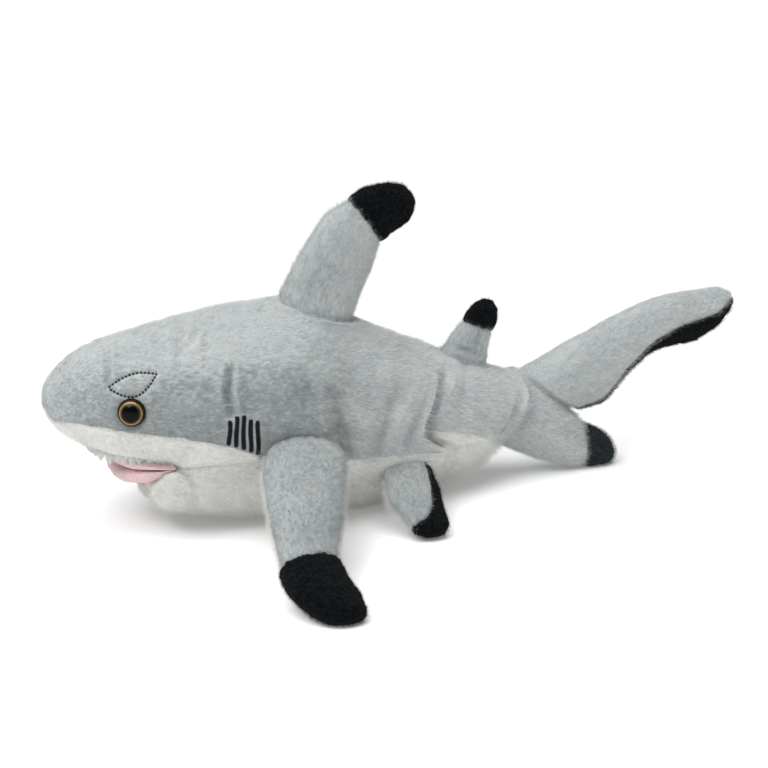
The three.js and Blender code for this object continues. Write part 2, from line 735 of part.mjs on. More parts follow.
function teethStrip() {
  const steps = TEETH.count * 2;
  const place = (i, j, inset) => {
    const turn = mix(radians(-80), radians(80), i / steps);
    const low = i % 2 === 1 ? TEETH.tip : TEETH.root;
    const z = (j === 0 ? low : TEETH.top) + TEETH.frontRise * Math.cos(turn) ** 2;
    return vector(
      MOUTH_BACK_X - 1 - (TEETH.reach - inset) * Math.cos(turn),
      (TEETH.half - inset) * Math.sin(turn),
      z,
    );
  };
  return sheetSolid(steps, 1, (i, j) => place(i, j, 0), (i, j) => place(i, j, TEETH.thick));
}

// ---------- embroidery ----------

function addGills(side, label) {
  GILL_SPANS.forEach(([start, end], k) => {
    const steps = 6;
    const middle = GILL.firstX + GILL.pitch * k;
    const place = (i, j, lift) => {
      const x = middle + (j - 0.5) * GILL.width;
      const angle = angleAtHeight(x, mix(start, end, i / steps));
      const point = skinPoint(x, angle).addScaledVector(skinNormal(x, angle), lift);
      point.y *= side;
      return point;
    };
    const bar = sheetSolid(
      steps,
      1,
      (i, j) => place(i, j, GAP + THREAD_HEIGHT),
      (i, j) => place(i, j, GAP),
    );
    addPiece(`gill_stitch_${label}_${k + 1}`, bar, BLACK_THREAD);
  });
}

// The brow is a leaf-shaped loop of stitches over each eye.
function addBrow(side, label) {
  const steps = 10;
  const points = [];
  const normals = [];
  for (let i = 0; i < steps * 2; i += 1) {
    const upper = i < steps;
    const share = upper ? i / steps : 2 - i / steps;
    const bulge = Math.sin(Math.PI * share) * (upper ? BROW.rise : -BROW.drop);
    const x = mix(BROW.frontX, BROW.backX, share);
    const angle = angleAtHeight(x, mix(BROW.frontZ, BROW.backZ, share) + bulge);
    const point = skinPoint(x, angle);
    const normal = skinNormal(x, angle);
    point.y *= side;
    normal.y *= side;
    points.push(point);
    normals.push(normal);
  }
  addPiece(`brow_stitch_${label}`, threadLoop(points, normals, 0.9, THREAD_HEIGHT), GREY_THREAD);
}

// ---------- assembly ----------

function addTrunk() {
  const muzzleRows = between(BODY_ROWS, BODY[0][0], MUZZLE_END_X);
  const bellyRows = between(BODY_ROWS, THROAT_X, WAIST_X);
  const fillingRows = between(BODY_ROWS, FILLING_START_X, WAIST_X);
  let filling = toSolid(bodyFilling(fillingRows, TRUNK_SHAPE, FILLING_SIDES));
  for (const [side, label, mirror] of [[1, 'left', -1], [-1, 'right', 1]]) {
    const back = bodyPanel(BODY_ROWS, TRUNK_SHAPE, topLine, colourLine, 8, mirror);
    const shankRoom = seatOnEye(lathe(eyeProfile(GAP)), side);
    const washerRoom = seatOnEye(lathe(washerProfile(GAP)), side);
    addPiece(`back_${label}_panel`, fromSolid(toSolid(back).subtract(toSolid(shankRoom))), GREY_PLUSH);
    filling = filling.subtract(toSolid(shankRoom)).subtract(toSolid(washerRoom));
    const muzzle = bodyPanel(muzzleRows, TRUNK_SHAPE, colourLine, muzzleEdge, 5, mirror);
    addPiece(`muzzle_${label}_panel`, muzzle, WHITE_PLUSH);
    addPiece(`eye_${label}`, seatOnEye(lathe(eyeProfile(0)), side), EYE_PLASTIC);
    addPiece(`eye_washer_${label}`, seatOnEye(lathe(washerProfile(0)), side), WASHER_PLASTIC);
    addGills(side, label);
    addBrow(side, label);
  }
  const belly = bodyPanel(bellyRows, TRUNK_SHAPE, bellyEdge, (x) => 360 - bellyEdge(x), 14, 0);
  addPiece('belly_panel', belly, WHITE_PLUSH);
  addPiece('trunk_filling', fromSolid(filling), FILLING);
}

function addTail() {
  for (const [label, mirror] of [['left', -1], ['right', 1]]) {
    const back = bodyPanel(TAIL_ROWS, TAIL_SHAPE, topLine, tailColourLine, 8, mirror);
    addPiece(`tail_${label}_panel`, back, GREY_PLUSH);
  }
  const under = bodyPanel(TAIL_ROWS, TAIL_SHAPE, tailColourLine, (x) => 360 - tailColourLine(x), 10, 0);
  addPiece('tail_belly_panel', under, WHITE_PLUSH);
  addPiece('tail_filling', bodyFilling(TAIL_ROWS, TAIL_SHAPE, FILLING_SIDES), FILLING);
}

function addMouth() {
  addPiece('upper_lip', mouthPad(UPPER_LIP, JAW_BACK_X), PINK_VELOUR);
  addPiece('lower_lip', mouthPad(LOWER_LIP, JAW_BACK_X), PINK_VELOUR);
  addPiece('chin_pad', mouthPad(CHIN, JAW_BACK_X), WHITE_PLUSH);
  addPiece('upper_teeth', teethStrip(), WHITE_PLUSH);
}

addTrunk();
addTail();
addMouth();
addFin('dorsal', uprightFin(DORSAL), UPRIGHT, DORSAL_SEAM, ['right', 'left'], [GREY_PLUSH, GREY_PLUSH]);
addFin(
  'second_dorsal',
  uprightFin(SECOND_DORSAL),
  UPRIGHT,
  SECOND_DORSAL_SEAM,
  ['right', 'left'],
  [GREY_PLUSH, GREY_PLUSH],
);
for (const [side, label] of [[1, 'left'], [-1, 'right']]) {
  addFin(
    `pectoral_${label}`,
    sideFin(PECTORAL, PECTORAL_ROOT, PECTORAL_SLOPE, side),
    sideFinAcross(PECTORAL_SLOPE, side),
    PECTORAL_SEAM,
    ['top', 'under'],
    [GREY_PLUSH, WHITE_PLUSH],
  );
  addFin(
    `pelvic_${label}`,
    sideFin(PELVIC, PELVIC_ROOT, PELVIC_SLOPE, side),
    sideFinAcross(PELVIC_SLOPE, side),
    PELVIC_SEAM,
    ['top', 'under'],
    [GREY_PLUSH, WHITE_PLUSH],
  );
}
addCaudal();

export default shark;
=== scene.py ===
import math

import bpy
import numpy as np
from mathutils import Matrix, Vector


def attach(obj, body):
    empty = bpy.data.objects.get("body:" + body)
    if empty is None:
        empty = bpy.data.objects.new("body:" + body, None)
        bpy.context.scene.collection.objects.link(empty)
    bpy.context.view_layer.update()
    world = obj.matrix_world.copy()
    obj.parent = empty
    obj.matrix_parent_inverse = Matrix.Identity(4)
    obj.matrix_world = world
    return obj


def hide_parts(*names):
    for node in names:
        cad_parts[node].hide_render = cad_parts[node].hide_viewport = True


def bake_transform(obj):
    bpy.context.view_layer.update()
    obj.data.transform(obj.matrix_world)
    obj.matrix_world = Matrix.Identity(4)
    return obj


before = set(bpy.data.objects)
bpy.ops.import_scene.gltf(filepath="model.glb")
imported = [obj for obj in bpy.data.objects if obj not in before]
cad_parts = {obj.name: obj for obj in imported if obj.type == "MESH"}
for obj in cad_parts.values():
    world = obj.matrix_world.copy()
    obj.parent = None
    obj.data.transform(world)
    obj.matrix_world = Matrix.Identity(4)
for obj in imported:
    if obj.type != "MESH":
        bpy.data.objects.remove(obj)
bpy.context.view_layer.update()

# Everything below is worked out in millimetres and turned into metres when a mesh is made.
MM = 0.001
SPACING = 0.7  # distance between vertices of the cloth

# ---------- the toy's forms, in step with the CAD part's own sections ----------

# x, top, widest height, bottom, half width, squareness of the lower half
BODY = np.array([
    [-168.8, 61.3, 61.0, 60.7, 0.1, 2.0],
    [-168.4, 68.2, 61.8, 57.8, 5.0, 2.0],
    [-166.6, 72.8, 61.8, 54.4, 9.4, 2.0],
    [-163.0, 76.4, 61.6, 50.6, 13.8, 2.1],
    [-153.0, 83.2, 61.2, 44.0, 21.4, 2.6],
    [-147.0, 85.8, 60.6, 40.8, 24.8, 3.2],
    [-141.0, 87.6, 59.6, 39.0, 27.8, 3.6],
    [-129.0, 90.2, 57.6, 38.0, 33.0, 4.0],
    [-123.0, 91.4, 56.2, 37.0, 35.2, 4.0],
    [-119.0, 92.2, 55.4, 35.0, 36.2, 4.0],
    [-117.5, 92.5, 55.1, 33.0, 36.6, 3.6],
    [-113.0, 93.4, 54.0, 9.5, 38.0, 2.3],
    [-98.0, 95.7, 52.0, 5.5, 42.0, 2.2],
    [-82.0, 97.6, 50.0, 2.0, 44.5, 2.1],
    [-64.0, 98.4, 49.0, -0.6, 45.5, 2.1],
    [-45.0, 95.5, 47.0, -1.8, 44.5, 2.1],
    [-26.0, 86.6, 42.5, -1.8, 42.0, 2.1],
    [-10.0, 77.9, 38.5, -1.0, 38.5, 2.1],
    [2.0, 71.5, 36.2, 1.0, 35.0, 2.0],
    [14.0, 66.0, 34.8, 3.6, 30.5, 2.0],
    [26.0, 61.2, 33.6, 6.0, 26.5, 2.0],
    [40.0, 56.4, 32.9, 9.4, 21.0, 2.0],
    [52.0, 53.0, 33.4, 13.8, 17.0, 2.0],
    [62.0, 50.8, 33.9, 17.0, 14.0, 2.0],
])
COLOUR_LINE = np.array([  # x, height
    [-168.8, 60.9],
    [-168.4, 58.6],
    [-166.6, 56.8],
    [-163.0, 56.9],
    [-151.0, 57.0],
    [-141.0, 55.3],
    [-119.0, 52.6],
    [-107.0, 49.6],
    [-97.0, 47.6],
    [-86.0, 43.2],
    [-60.0, 37.5],
    [-43.0, 34.2],
    [-17.0, 32.0],
    [10.0, 28.6],
])
TAIL_COLOUR_LINE = np.array([
    [10.0, 40.2],
    [26.0, 32.8],
    [44.0, 23.6],
    [60.0, 18.6],
])
JAW_EDGE = np.array([  # lower edge of the white band: round the mouth, then the jaw seam
    [-168.8, 60.75],
    [-168.4, 58.0],
    [-166.6, 54.8],
    [-163.0, 51.3],
    [-153.0, 45.0],
    [-147.0, 42.0],
    [-141.0, 40.4],
    [-129.0, 40.0],
    [-123.0, 38.8],
    [-119.0, 36.2],
    [-113.0, 36.6],
    [-105.0, 37.8],
    [-82.0, 38.8],
])
# The throat's front, under the jaw edge: x, lowest height
THROAT = np.array([
    [-119.6, 31.0],
    [-119.2, 26.0],
    [-118.2, 20.5],
    [-116.2, 13.5],
    [-112.5, 9.2],
    [-105.0, 6.8],
    [-98.0, 5.5],
])
BELLY_POWER = 2 / 2.2  # roundness of the belly's lower corners, used again for the chin
MOUTH_BACK_X = -119.6
MUZZLE_END_X = -82.0
WAIST_X = 10.0
SLEEVE_X = 60.0
# Where the waist fold and the sleeve seam really run: height, x
WAIST_LINE = np.array([
    [3.6, 8.0],
    [10.0, 8.0],
    [18.0, 10.0],
    [24.0, 12.0],
    [28.0, 13.0],
    [31.0, 9.0],
    [34.5, 4.0],
    [38.5, 0.8],
    [43.0, 2.0],
    [50.0, 5.5],
    [60.0, 11.5],
    [67.0, 15.0],
])
SLEEVE_LINE = np.array([
    [16.0, 45.5],
    [20.5, 46.6],
    [25.6, 50.8],
    [31.6, 54.9],
    [39.2, 58.7],
    [45.5, 60.3],
    [51.2, 60.0],
])
RIGHT_SHIFT = 3.0  # the right side's folds lie this much further forward
# Folds in the stuffed body, on the left side: points, depth, width
FOLDS = [
    ([(-92.5, -33.0, 80.0), (-95.0, -37.5, 71.9), (-94.6, -40.8, 62.0)], 3.6, 1.7),
    ([(-140.9, -7.9, 86.1), (-142.6, -14.5, 82.0), (-144.2, -20.1, 76.5)], 1.4, 1.4),
    ([(-107.2, -10.7, 92.5), (-110.5, -18.5, 88.0), (-113.5, -25.8, 81.7)], 1.7, 2.0),
    ([(-102.2, -13.0, 92.6), (-106.9, -20.0, 88.3)], 1.5, 1.6),
    ([(-98.3, -17.7, 91.3), (-101.0, -24.0, 87.0)], 1.2, 1.6),
    ([(-57.0, -4.0, 97.2), (-50.0, -11.5, 95.1), (-45.0, -13.0, 93.4),
      (-38.0, -13.0, 90.5), (-30.0, -9.0, 87.6), (-26.0, -4.0, 86.4)], 3.2, 1.5),  # the dorsal fin's base
    ([(-45.9, -41.5, 65.0), (-45.0, -43.7, 55.0), (-43.8, -44.4, 48.7), (-40.8, -43.0, 35.9)], 3.6, 4.2),
    ([(-17.3, -35.6, 59.8), (-20.0, -39.1, 53.6), (-24.3, -41.7, 44.0), (-25.9, -41.6, 36.6)], 2.1, 4.2),
    ([(-0.8, -31.5, 54.0), (-4.1, -36.9, 37.7), (-7.0, -38.0, 32.0)], 1.7, 3.4),
    ([(-7.5, -35.5, 48.0), (-10.0, -38.5, 38.8), (-12.5, -38.8, 33.5)], 1.5, 3.2),
    ([(-56.3, -34.8, 80.4), (-58.3, -42.9, 65.1)], 1.2, 5.5),
    ([(-33.2, -27.3, 80.1), (-38.8, -40.7, 63.7)], 1.2, 5.5),
    ([(-23.9, -27.7, 74.5), (-29.2, -39.5, 60.2)], 1.2, 4.9),
    ([(-9.1, -18.7, 72.3), (-14.3, -35.9, 56.9)], 1.2, 4.9),
    ([(27.0, -7.2, 59.6), (19.5, -24.7, 49.2), (17.0, -30.0, 40.0)], 1.4, 2.7),
    ([(34.0, -22.0, 42.0), (33.0, -24.0, 33.0)], 0.75, 2.2),
    ([(54.7, -10.7, 47.7), (54.6, -14.7, 41.8), (50.4, -17.7, 35.3), (46.5, -18.0, 29.0)], 1.7, 1.5),
    ([(-100.0, -36.0, 20.0), (-96.0, -30.0, 11.0)], 1.5, 2.7),
    ([(-70.0, -36.0, 17.0), (-74.0, -28.0, 7.0)], 1.4, 2.7),
    ([(-108.0, -33.0, 24.0), (-109.0, -26.0, 13.5)], 1.2, 2.2),
]
EYE = {"x": -136.6, "z": 64.0, "radius": 6.3, "dome": 4.2}
BROW = {"front": -145.0, "back": -124.0, "front_z": 74.0, "back_z": 79.6, "rise": 2.6, "drop": 6.0}
GILL = {"first": -96.3, "pitch": 3.1, "width": 2.1}
GILL_SPANS = [(59.6, 48.2), (61.2, 47.2), (61.4, 45.8), (59.4, 44.4), (58.6, 43.0)]

# Upright fins: lead x, lead z, trail x, trail z, half thickness
DORSAL = [
    [-57.5, 91.0, -27.5, 81.0, 12.0],
    [-58.6, 97.0, -25.5, 86.5, 13.0],
    [-57.8, 101.6, -23.6, 91.2, 11.6],
    [-55.4, 106.8, -21.0, 97.0, 9.6],
    [-51.5, 114.5, -17.4, 104.5, 8.6],
    [-44.0, 126.5, -14.2, 112.0, 8.0],
    [-35.6, 137.0, -12.8, 117.0, 7.6],
    [-25.3, 142.4, -10.7, 121.3, 7.0],
    [-18.0, 146.0, -7.6, 124.6, 6.8],
    [-9.5, 147.4, -1.0, 128.6, 6.0],
    [0.0, 146.2, 4.4, 133.6, 4.4],
    [4.6, 142.6, 6.2, 138.0, 1.8],
]
DORSAL_SEAM = 7  # the black cover starts at this row
DORSAL_HINGE, DORSAL_UP = (-41.25, 0.0, 95.6), (0.30670, 0.0, 0.95181)
SECOND_DORSAL = [
    [17.0, 60.0, 41.0, 53.0, 5.4],
    [18.6, 64.6, 41.6, 57.6, 6.2],
    [20.8, 68.2, 42.2, 61.2, 6.0],
    [23.6, 72.0, 42.8, 64.6, 5.5],
    [26.9, 75.8, 43.8, 68.6, 5.2],
    [30.2, 79.6, 45.0, 73.2, 4.9],
    [33.6, 83.2, 46.4, 78.0, 4.3],
    [37.2, 86.8, 46.6, 83.2, 3.2],
    [40.4, 88.6, 45.0, 87.2, 1.4],
]
SECOND_DORSAL_SEAM = 5
SECOND_DORSAL_HINGE, SECOND_DORSAL_UP = (30.5, 0.0, 63.65), (0.317835, 0.0, 0.948147)
SECOND_DORSAL_FOLDS = [  # x and height of each end, depth, width
    (((22.5, 75.0), (20.5, 68.5)), 1.3, 1.2),
    (((24.0, 68.5), (34.0, 64.5)), 1.6, 1.4),
    (((37.5, 75.0), (35.0, 65.0)), 1.6, 1.5),
]
# Side fins: reach, lead x, trail x, half thickness
PECTORAL = [
    [-8.0, -73.0, -57.0, 3.0],
    [-2.5, -78.0, -52.0, 4.4],
    [3.0, -82.0, -49.0, 6.6],
    [12.0, -86.0, -48.6, 9.0],
    [24.0, -88.5, -52.5, 9.4],
    [45.0, -92.2, -60.5, 8.8],
    [70.0, -95.6, -69.6, 7.4],
    [80.0, -96.4, -69.8, 7.0],
    [92.0, -92.5, -67.8, 6.2],
    [101.0, -85.0, -68.0, 4.6],
    [104.5, -80.0, -72.0, 1.7],
]
PECTORAL_SEAM = 6
PECTORAL_ROOT, PECTORAL_HINGE_X = (-47.6, 44.5), -65.0  # y and height of the left root seam
PECTORAL_SLOPE = math.radians(23.6)
PELVIC = [
    [-6.0, -20.5, -3.0, 2.0],
    [-1.0, -23.0, -1.2, 3.6],
    [5.0, -24.2, -0.6, 4.9],
    [12.0, -24.6, -0.2, 5.2],
    [22.0, -22.2, -0.6, 4.8],
    [30.0, -18.6, -0.6, 4.0],
    [34.6, -13.6, -3.6, 1.9],
]
PELVIC_SEAM = 4
# Side of the chord, from -1 leading to 1 trailing, and the distance of the black cover's seam from the root
PELVIC_SLANT = np.array([
    [-1.0, 36.5],
    [-0.5, 35.0],
    [0.0, 33.0],
    [0.4, 28.5],
    [0.6, 22.0],
    [0.75, 13.0],
    [0.88, 5.0],
    [1.0, 2.0],
])
PELVIC_ROOT, PELVIC_HINGE_X = (-39.0, 24.0), -11.75
PELVIC_SLOPE = math.radians(38.0)
UPPER_LOBE = [
    [48.0, 47.5, 50.0, 25.0, 10.0],
    [56.0, 50.0, 58.0, 24.4, 12.2],
    [63.0, 52.2, 66.0, 25.6, 12.6],
    [74.0, 58.0, 84.0, 29.0, 10.8],
    [89.8, 65.6, 99.0, 31.0, 9.2],
    [106.0, 72.4, 116.4, 46.6, 8.2],
    [122.4, 78.4, 131.0, 55.2, 7.2],
    [139.0, 81.4, 148.6, 57.4, 6.2],
    [157.5, 82.2, 162.0, 64.0, 4.8],
    [167.6, 79.8, 169.0, 72.6, 2.4],
]
LOWER_LOBE = [
    [50.0, 46.0, 42.0, 19.5, 9.0],
    [57.5, 48.5, 50.5, 15.6, 12.4],
    [66.0, 47.5, 61.0, 10.4, 13.6],
    [76.0, 40.0, 75.0, 4.0, 12.2],
    [85.0, 30.4, 84.5, 0.6, 10.0],
    [91.6, 21.6, 92.5, 0.2, 8.4],
    [101.0, 16.0, 101.0, 0.4, 6.8],
    [106.0, 10.8, 106.5, 1.4, 4.8],
    [108.0, 7.2, 108.2, 3.9, 2.3],
]
LOWER_TIP_SEAM = 5
LOBE_CREASE = np.array([[61.0, 49.0], [64.7, 46.2], [72.5, 38.9], [80.8, 32.4], [87.0, 28.5]])  # x, height
TRIM_ROW = 3  # the black strip starts at this row of the upper lobe
TRIM_WIDTHS = [1.5, 2.6, 3.6, 6.6, 10.8, 6.8, 4.0]


# ---------- mathematics ----------

def curve(rows, x, column=1):
    """Smooth curve through rows of (x, value, ...) with no overshoot."""
    rows = np.asarray(rows, float)
    xs, ys = rows[:, 0], rows[:, column]
    slope = np.diff(ys) / np.diff(xs)
    tangent = np.empty(len(xs))
    tangent[0], tangent[-1] = slope[0], slope[-1]
    before, after = slope[:-1], slope[1:]
    same = before * after > 0
    tangent[1:-1] = np.where(same, 2 * before * after / np.where(same, before + after, 1.0), 0.0)
    x = np.clip(x, xs[0], xs[-1])
    i = np.clip(np.searchsorted(xs, x, side="right") - 1, 0, len(xs) - 2)
    width = xs[i + 1] - xs[i]
    t = (x - xs[i]) / width
    return (
        (2 * t**3 - 3 * t**2 + 1) * ys[i]
        + (t**3 - 2 * t**2 + t) * width * tangent[i]
        + (3 * t**2 - 2 * t**3) * ys[i + 1]
        + (t**3 - t**2) * width * tangent[i + 1]
    )


LATTICE = np.random.default_rng(11).uniform(-1.0, 1.0, (64, 64, 64))


def noise(points, scale, seed=0.0):
    """Smooth noise between -1 and 1; scale may differ from axis to axis."""
    q = points / np.asarray(scale, float) + seed * 7.31 + 640.0
    base = np.floor(q).astype(int)
    f = q - base
    f = f * f * (3 - 2 * f)
    total = np.zeros(points.shape[:-1])
    for corner in range(8):
        bit = np.array([corner & 1, corner >> 1 & 1, corner >> 2 & 1])
        weight = np.prod(np.where(bit == 1, f, 1 - f), axis=-1)
        i = (base + bit) % 64
        total += weight * LATTICE[i[..., 0], i[..., 1], i[..., 2]]
    return total


def smoothstep(low, high, x):
    t = np.clip((x - low) / (high - low), 0, 1)
    return t * t * (3 - 2 * t)


def unit(v):
    return v / np.maximum(np.linalg.norm(v, axis=-1, keepdims=True), 1e-9)


def grid_normals(grid, centre):
    """Unit normals of a grid of points, facing away from the centre points."""
    normals = unit(np.cross(np.gradient(grid, axis=0), np.gradient(grid, axis=1)))
    out = np.sum(normals * (grid - centre), axis=-1)
    sign = 1.0 if np.median(out) > 0 else -1.0
    return normals * sign


def wrapped_normals(grid, centre):
    """Normals of a grid whose last column meets its first."""
    centre = np.broadcast_to(centre, grid.shape)
    wide = np.concatenate([grid[:, -1:], grid, grid[:, :1]], axis=1)
    middle = np.concatenate([centre[:, -1:], centre, centre[:, :1]], axis=1)
    return grid_normals(wide, middle)[:, 1:-1]


def distance_to_line(points, line):
    """Distance from points to a polyline, and how far along it (0 to 1) the nearest place is."""
    line = np.asarray(line, float)
    best = np.full(points.shape[:-1], 1e9)
    along = np.zeros(points.shape[:-1])
    lengths = np.linalg.norm(np.diff(line, axis=0), axis=1)
    total, start = lengths.sum(), 0.0
    for a, b, length in zip(line[:-1], line[1:], lengths):
        t = np.clip(np.sum((points - a) * (b - a), axis=-1) / max(length, 1e-6) ** 2, 0, 1)
        d = np.linalg.norm(points - (a + t[..., None] * (b - a)), axis=-1)
        nearer = d < best
        best = np.where(nearer, d, best)
        along = np.where(nearer, (start + t * length) / total, along)
        start += length
    return best, along


def run_along(points):
    """Length of the way from a line's first point to each of its points."""
    return np.concatenate([[0], np.cumsum(np.linalg.norm(np.diff(points, axis=0), axis=1))])


def place_on(points, run, place):
    """The point of a line at a length along it."""
    return np.stack([np.interp(place, run, points[:, k]) for k in range(3)], axis=-1)


def tube(middle, u, v, sides, half_u, half_v):
    """Rings of points round a line, each spanned by the directions u and v."""
    ring = np.linspace(0, 2 * np.pi, sides, endpoint=False)
    return (
        middle[:, None]
        + u * (np.cos(ring) * half_u[:, None])[..., None]
        + v * (np.sin(ring) * half_v[:, None])[..., None]
    )


# ---------- body surface ----------

def section(x):
    """Top, widest height and bottom of the body's section at x."""
    return (curve(BODY, x, k) for k in (1, 2, 3))


def body_point(x, angle):
    """A point of the smooth body: angle in degrees from the top round the left side."""
    x, angle = np.broadcast_arrays(np.asarray(x, float), np.asarray(angle, float))
    top, widest, bottom = section(x)
    wide, square = curve(BODY, x, 4), curve(BODY, x, 5)
    c, s = np.cos(np.radians(angle)), np.sin(np.radians(angle))
    below = c < 0
    high = np.where(below, widest - bottom, top - widest)
    power = np.where(below, 2 / square, 1.0)
    side = np.sign(s) * np.abs(s) ** power
    rise = np.sign(c) * np.abs(c) ** power
    return np.stack([x, -wide * side, np.maximum(widest + high * rise, 0.0)], axis=-1)


def angle_at_height(x, z):
    top, widest, bottom = section(x)
    square = curve(BODY, x, 5)
    above = np.degrees(np.arccos(np.clip((z - widest) / np.maximum(top - widest, 1e-6), 0, 1)))
    share = np.clip((widest - z) / np.maximum(widest - bottom, 1e-6), 0, 1)
    below = 180 - np.degrees(np.arccos(share ** (square / 2)))
    return np.where(z >= widest, above, below)


def body_normal(x, angle):
    e = 0.4
    along = body_point(x + e, angle) - body_point(x - e, angle)
    around = body_point(x, angle + e) - body_point(x, angle - e)
    return unit(np.cross(around, along))


def brow_line():
    """The brow's leaf outline on the left side."""
    share = np.linspace(0, 1, 25)
    upper = [(s, np.sin(np.pi * s) * BROW["rise"]) for s in share]
    lower = [(s, -np.sin(np.pi * s) * BROW["drop"]) for s in share[::-1]]
    points = []
    for s, bulge in upper + lower:
        x = BROW["front"] + (BROW["back"] - BROW["front"]) * s
        z = BROW["front_z"] + (BROW["back_z"] - BROW["front_z"]) * s + bulge
        points.append((x, angle_at_height(x, z)))
    return np.array(points)


BROW_PARAMS = brow_line()
BROW_POINTS = body_point(BROW_PARAMS[:, 0], BROW_PARAMS[:, 1])
EYE_ANGLE = float(angle_at_height(EYE["x"], EYE["z"]))
EYE_SEAT = body_point(EYE["x"], EYE_ANGLE)
EYE_NORMAL = body_normal(EYE["x"], EYE_ANGLE)


def body_relief(p):
    """How far the stuffed skin stands off the smooth body at points p, along its normal."""
    left = p[..., 1:2] <= 0
    same = p * np.array([1.0, -1.0, 1.0])
    q = np.where(left, p, same + np.array([RIGHT_SHIFT, 0.0, 0.0]))
    relief = 0.75 * noise(p, 17.0, 1) + 0.4 * noise(p, 8.0, 2)
    for line, depth, width in FOLDS:
        d, along = distance_to_line(q, line)
        taper = 0.55 + 0.45 * np.sin(np.pi * along)
        relief -= depth * taper * np.exp(-(d / width) ** 2)
        relief += 0.35 * depth * taper * np.exp(-((d - 2.1 * width) / width) ** 2)
    x = p[..., 0]
    strength = 0.25 + 0.75 * smoothstep(20, 38, p[..., 2]) - 0.95 * smoothstep(57, 65, p[..., 2])
    ahead = x <= WAIST_X
    relief += strength * np.where(
        ahead,
        1.8 * np.exp(-((x - WAIST_X + 5.5) / 3.6) ** 2) - 6.0 * np.exp(-((x - WAIST_X) / 1.8) ** 2),
        -6.0 * np.exp(-((x - WAIST_X) / 3.4) ** 2)
        + 0.9 * np.exp(-((x - WAIST_X - 8.0) / 3.4) ** 2)
        - 1.0 * np.exp(-((x - WAIST_X - 14.0) / 2.6) ** 2),
    )
    relief += 0.9 * np.exp(-((x - SLEEVE_X + 3.0) / 2.4) ** 2)
    relief -= 0.8 * np.exp(-((x - SLEEVE_X + 7.0) / 1.6) ** 2)
    q = np.where(left, p, same)
    d, _ = distance_to_line(q, BROW_POINTS)
    relief -= 0.75 * np.exp(-(d / 1.0) ** 2)
    relief += 0.25 * np.exp(-((d - 2.4) / 1.6) ** 2)
    d = np.linalg.norm(q - EYE_SEAT, axis=-1)
    relief -= 0.9 * smoothstep(9.5, 5.0, d)
    return relief


def pile_relief(along, seed):
    """The lie of the pile: short streaks along the first axis."""
    return (
        0.16 * noise(along, (4.2, 1.7, 1.7), seed)
        + 0.09 * noise(along, (2.4, 1.1, 1.1), seed + 1)
        + 0.10 * noise(along, (9.0, 4.0, 4.0), seed + 2)
    )


def lean(p):
    """Moves the waist fold and the sleeve seam onto their slanting lines."""
    q = p.copy()
    x, z = p[..., 0], p[..., 2]
    q[..., 0] += (curve(WAIST_LINE, z) - WAIST_X) * np.exp(-((x - WAIST_X) / 22.0) ** 2)
    q[..., 0] += (curve(SLEEVE_LINE, z) - SLEEVE_X) * np.exp(-((x - SLEEVE_X) / 18.0) ** 2)
    return q


# ---------- making meshes ----------

def add_object(name, data):
    obj = bpy.data.objects.new(name, data)
    bpy.context.scene.collection.objects.link(obj)
    return obj


def steps_between(low, high, spacing):
    return max(int(math.ceil(abs(high - low) / spacing)), 2)


def sewn_sheet(grid, out, grooves, tucks, wrap=False):
    """Sinks a grid's borders into their seams and tucks a strip of cloth inside there.

    Both grooves' depths and tucks' lengths are for the first row, last row, first column and last column."""
    width = 1.4
    by_row = np.linalg.norm(np.diff(grid, axis=0), axis=-1)
    by_col = np.linalg.norm(np.diff(grid, axis=1), axis=-1)
    zero_row, zero_col = np.zeros_like(grid[:1, :, 0]), np.zeros_like(grid[:, :1, 0])
    from_row = np.concatenate([zero_row, np.cumsum(by_row, axis=0)], axis=0)
    from_col = np.concatenate([zero_col, np.cumsum(by_col, axis=1)], axis=1)
    distances = (from_row, from_row[-1:] - from_row, from_col, from_col[:, -1:] - from_col)
    sink = sum(depth * np.exp(-(d / width) ** 2) for depth, d in zip(grooves, distances) if depth)
    grid = grid - out * (sink[..., None] if np.ndim(sink) else 0.0)
    borders = ((0, 0), (0, -1)) if wrap else ((0, 0), (0, -1), (1, 0), (1, -1))
    for (axis, end), tuck in zip(borders, tucks):
        if not tuck:
            continue
        edge, edge_out = np.take(grid, [end], axis), np.take(out, [end], axis)
        parts, outs = [edge - edge_out * tuck, grid], [edge_out, out]
        grid = np.concatenate(parts if end == 0 else parts[::-1], axis=axis)
        out = np.concatenate(outs if end == 0 else outs[::-1], axis=axis)
    return grid, out


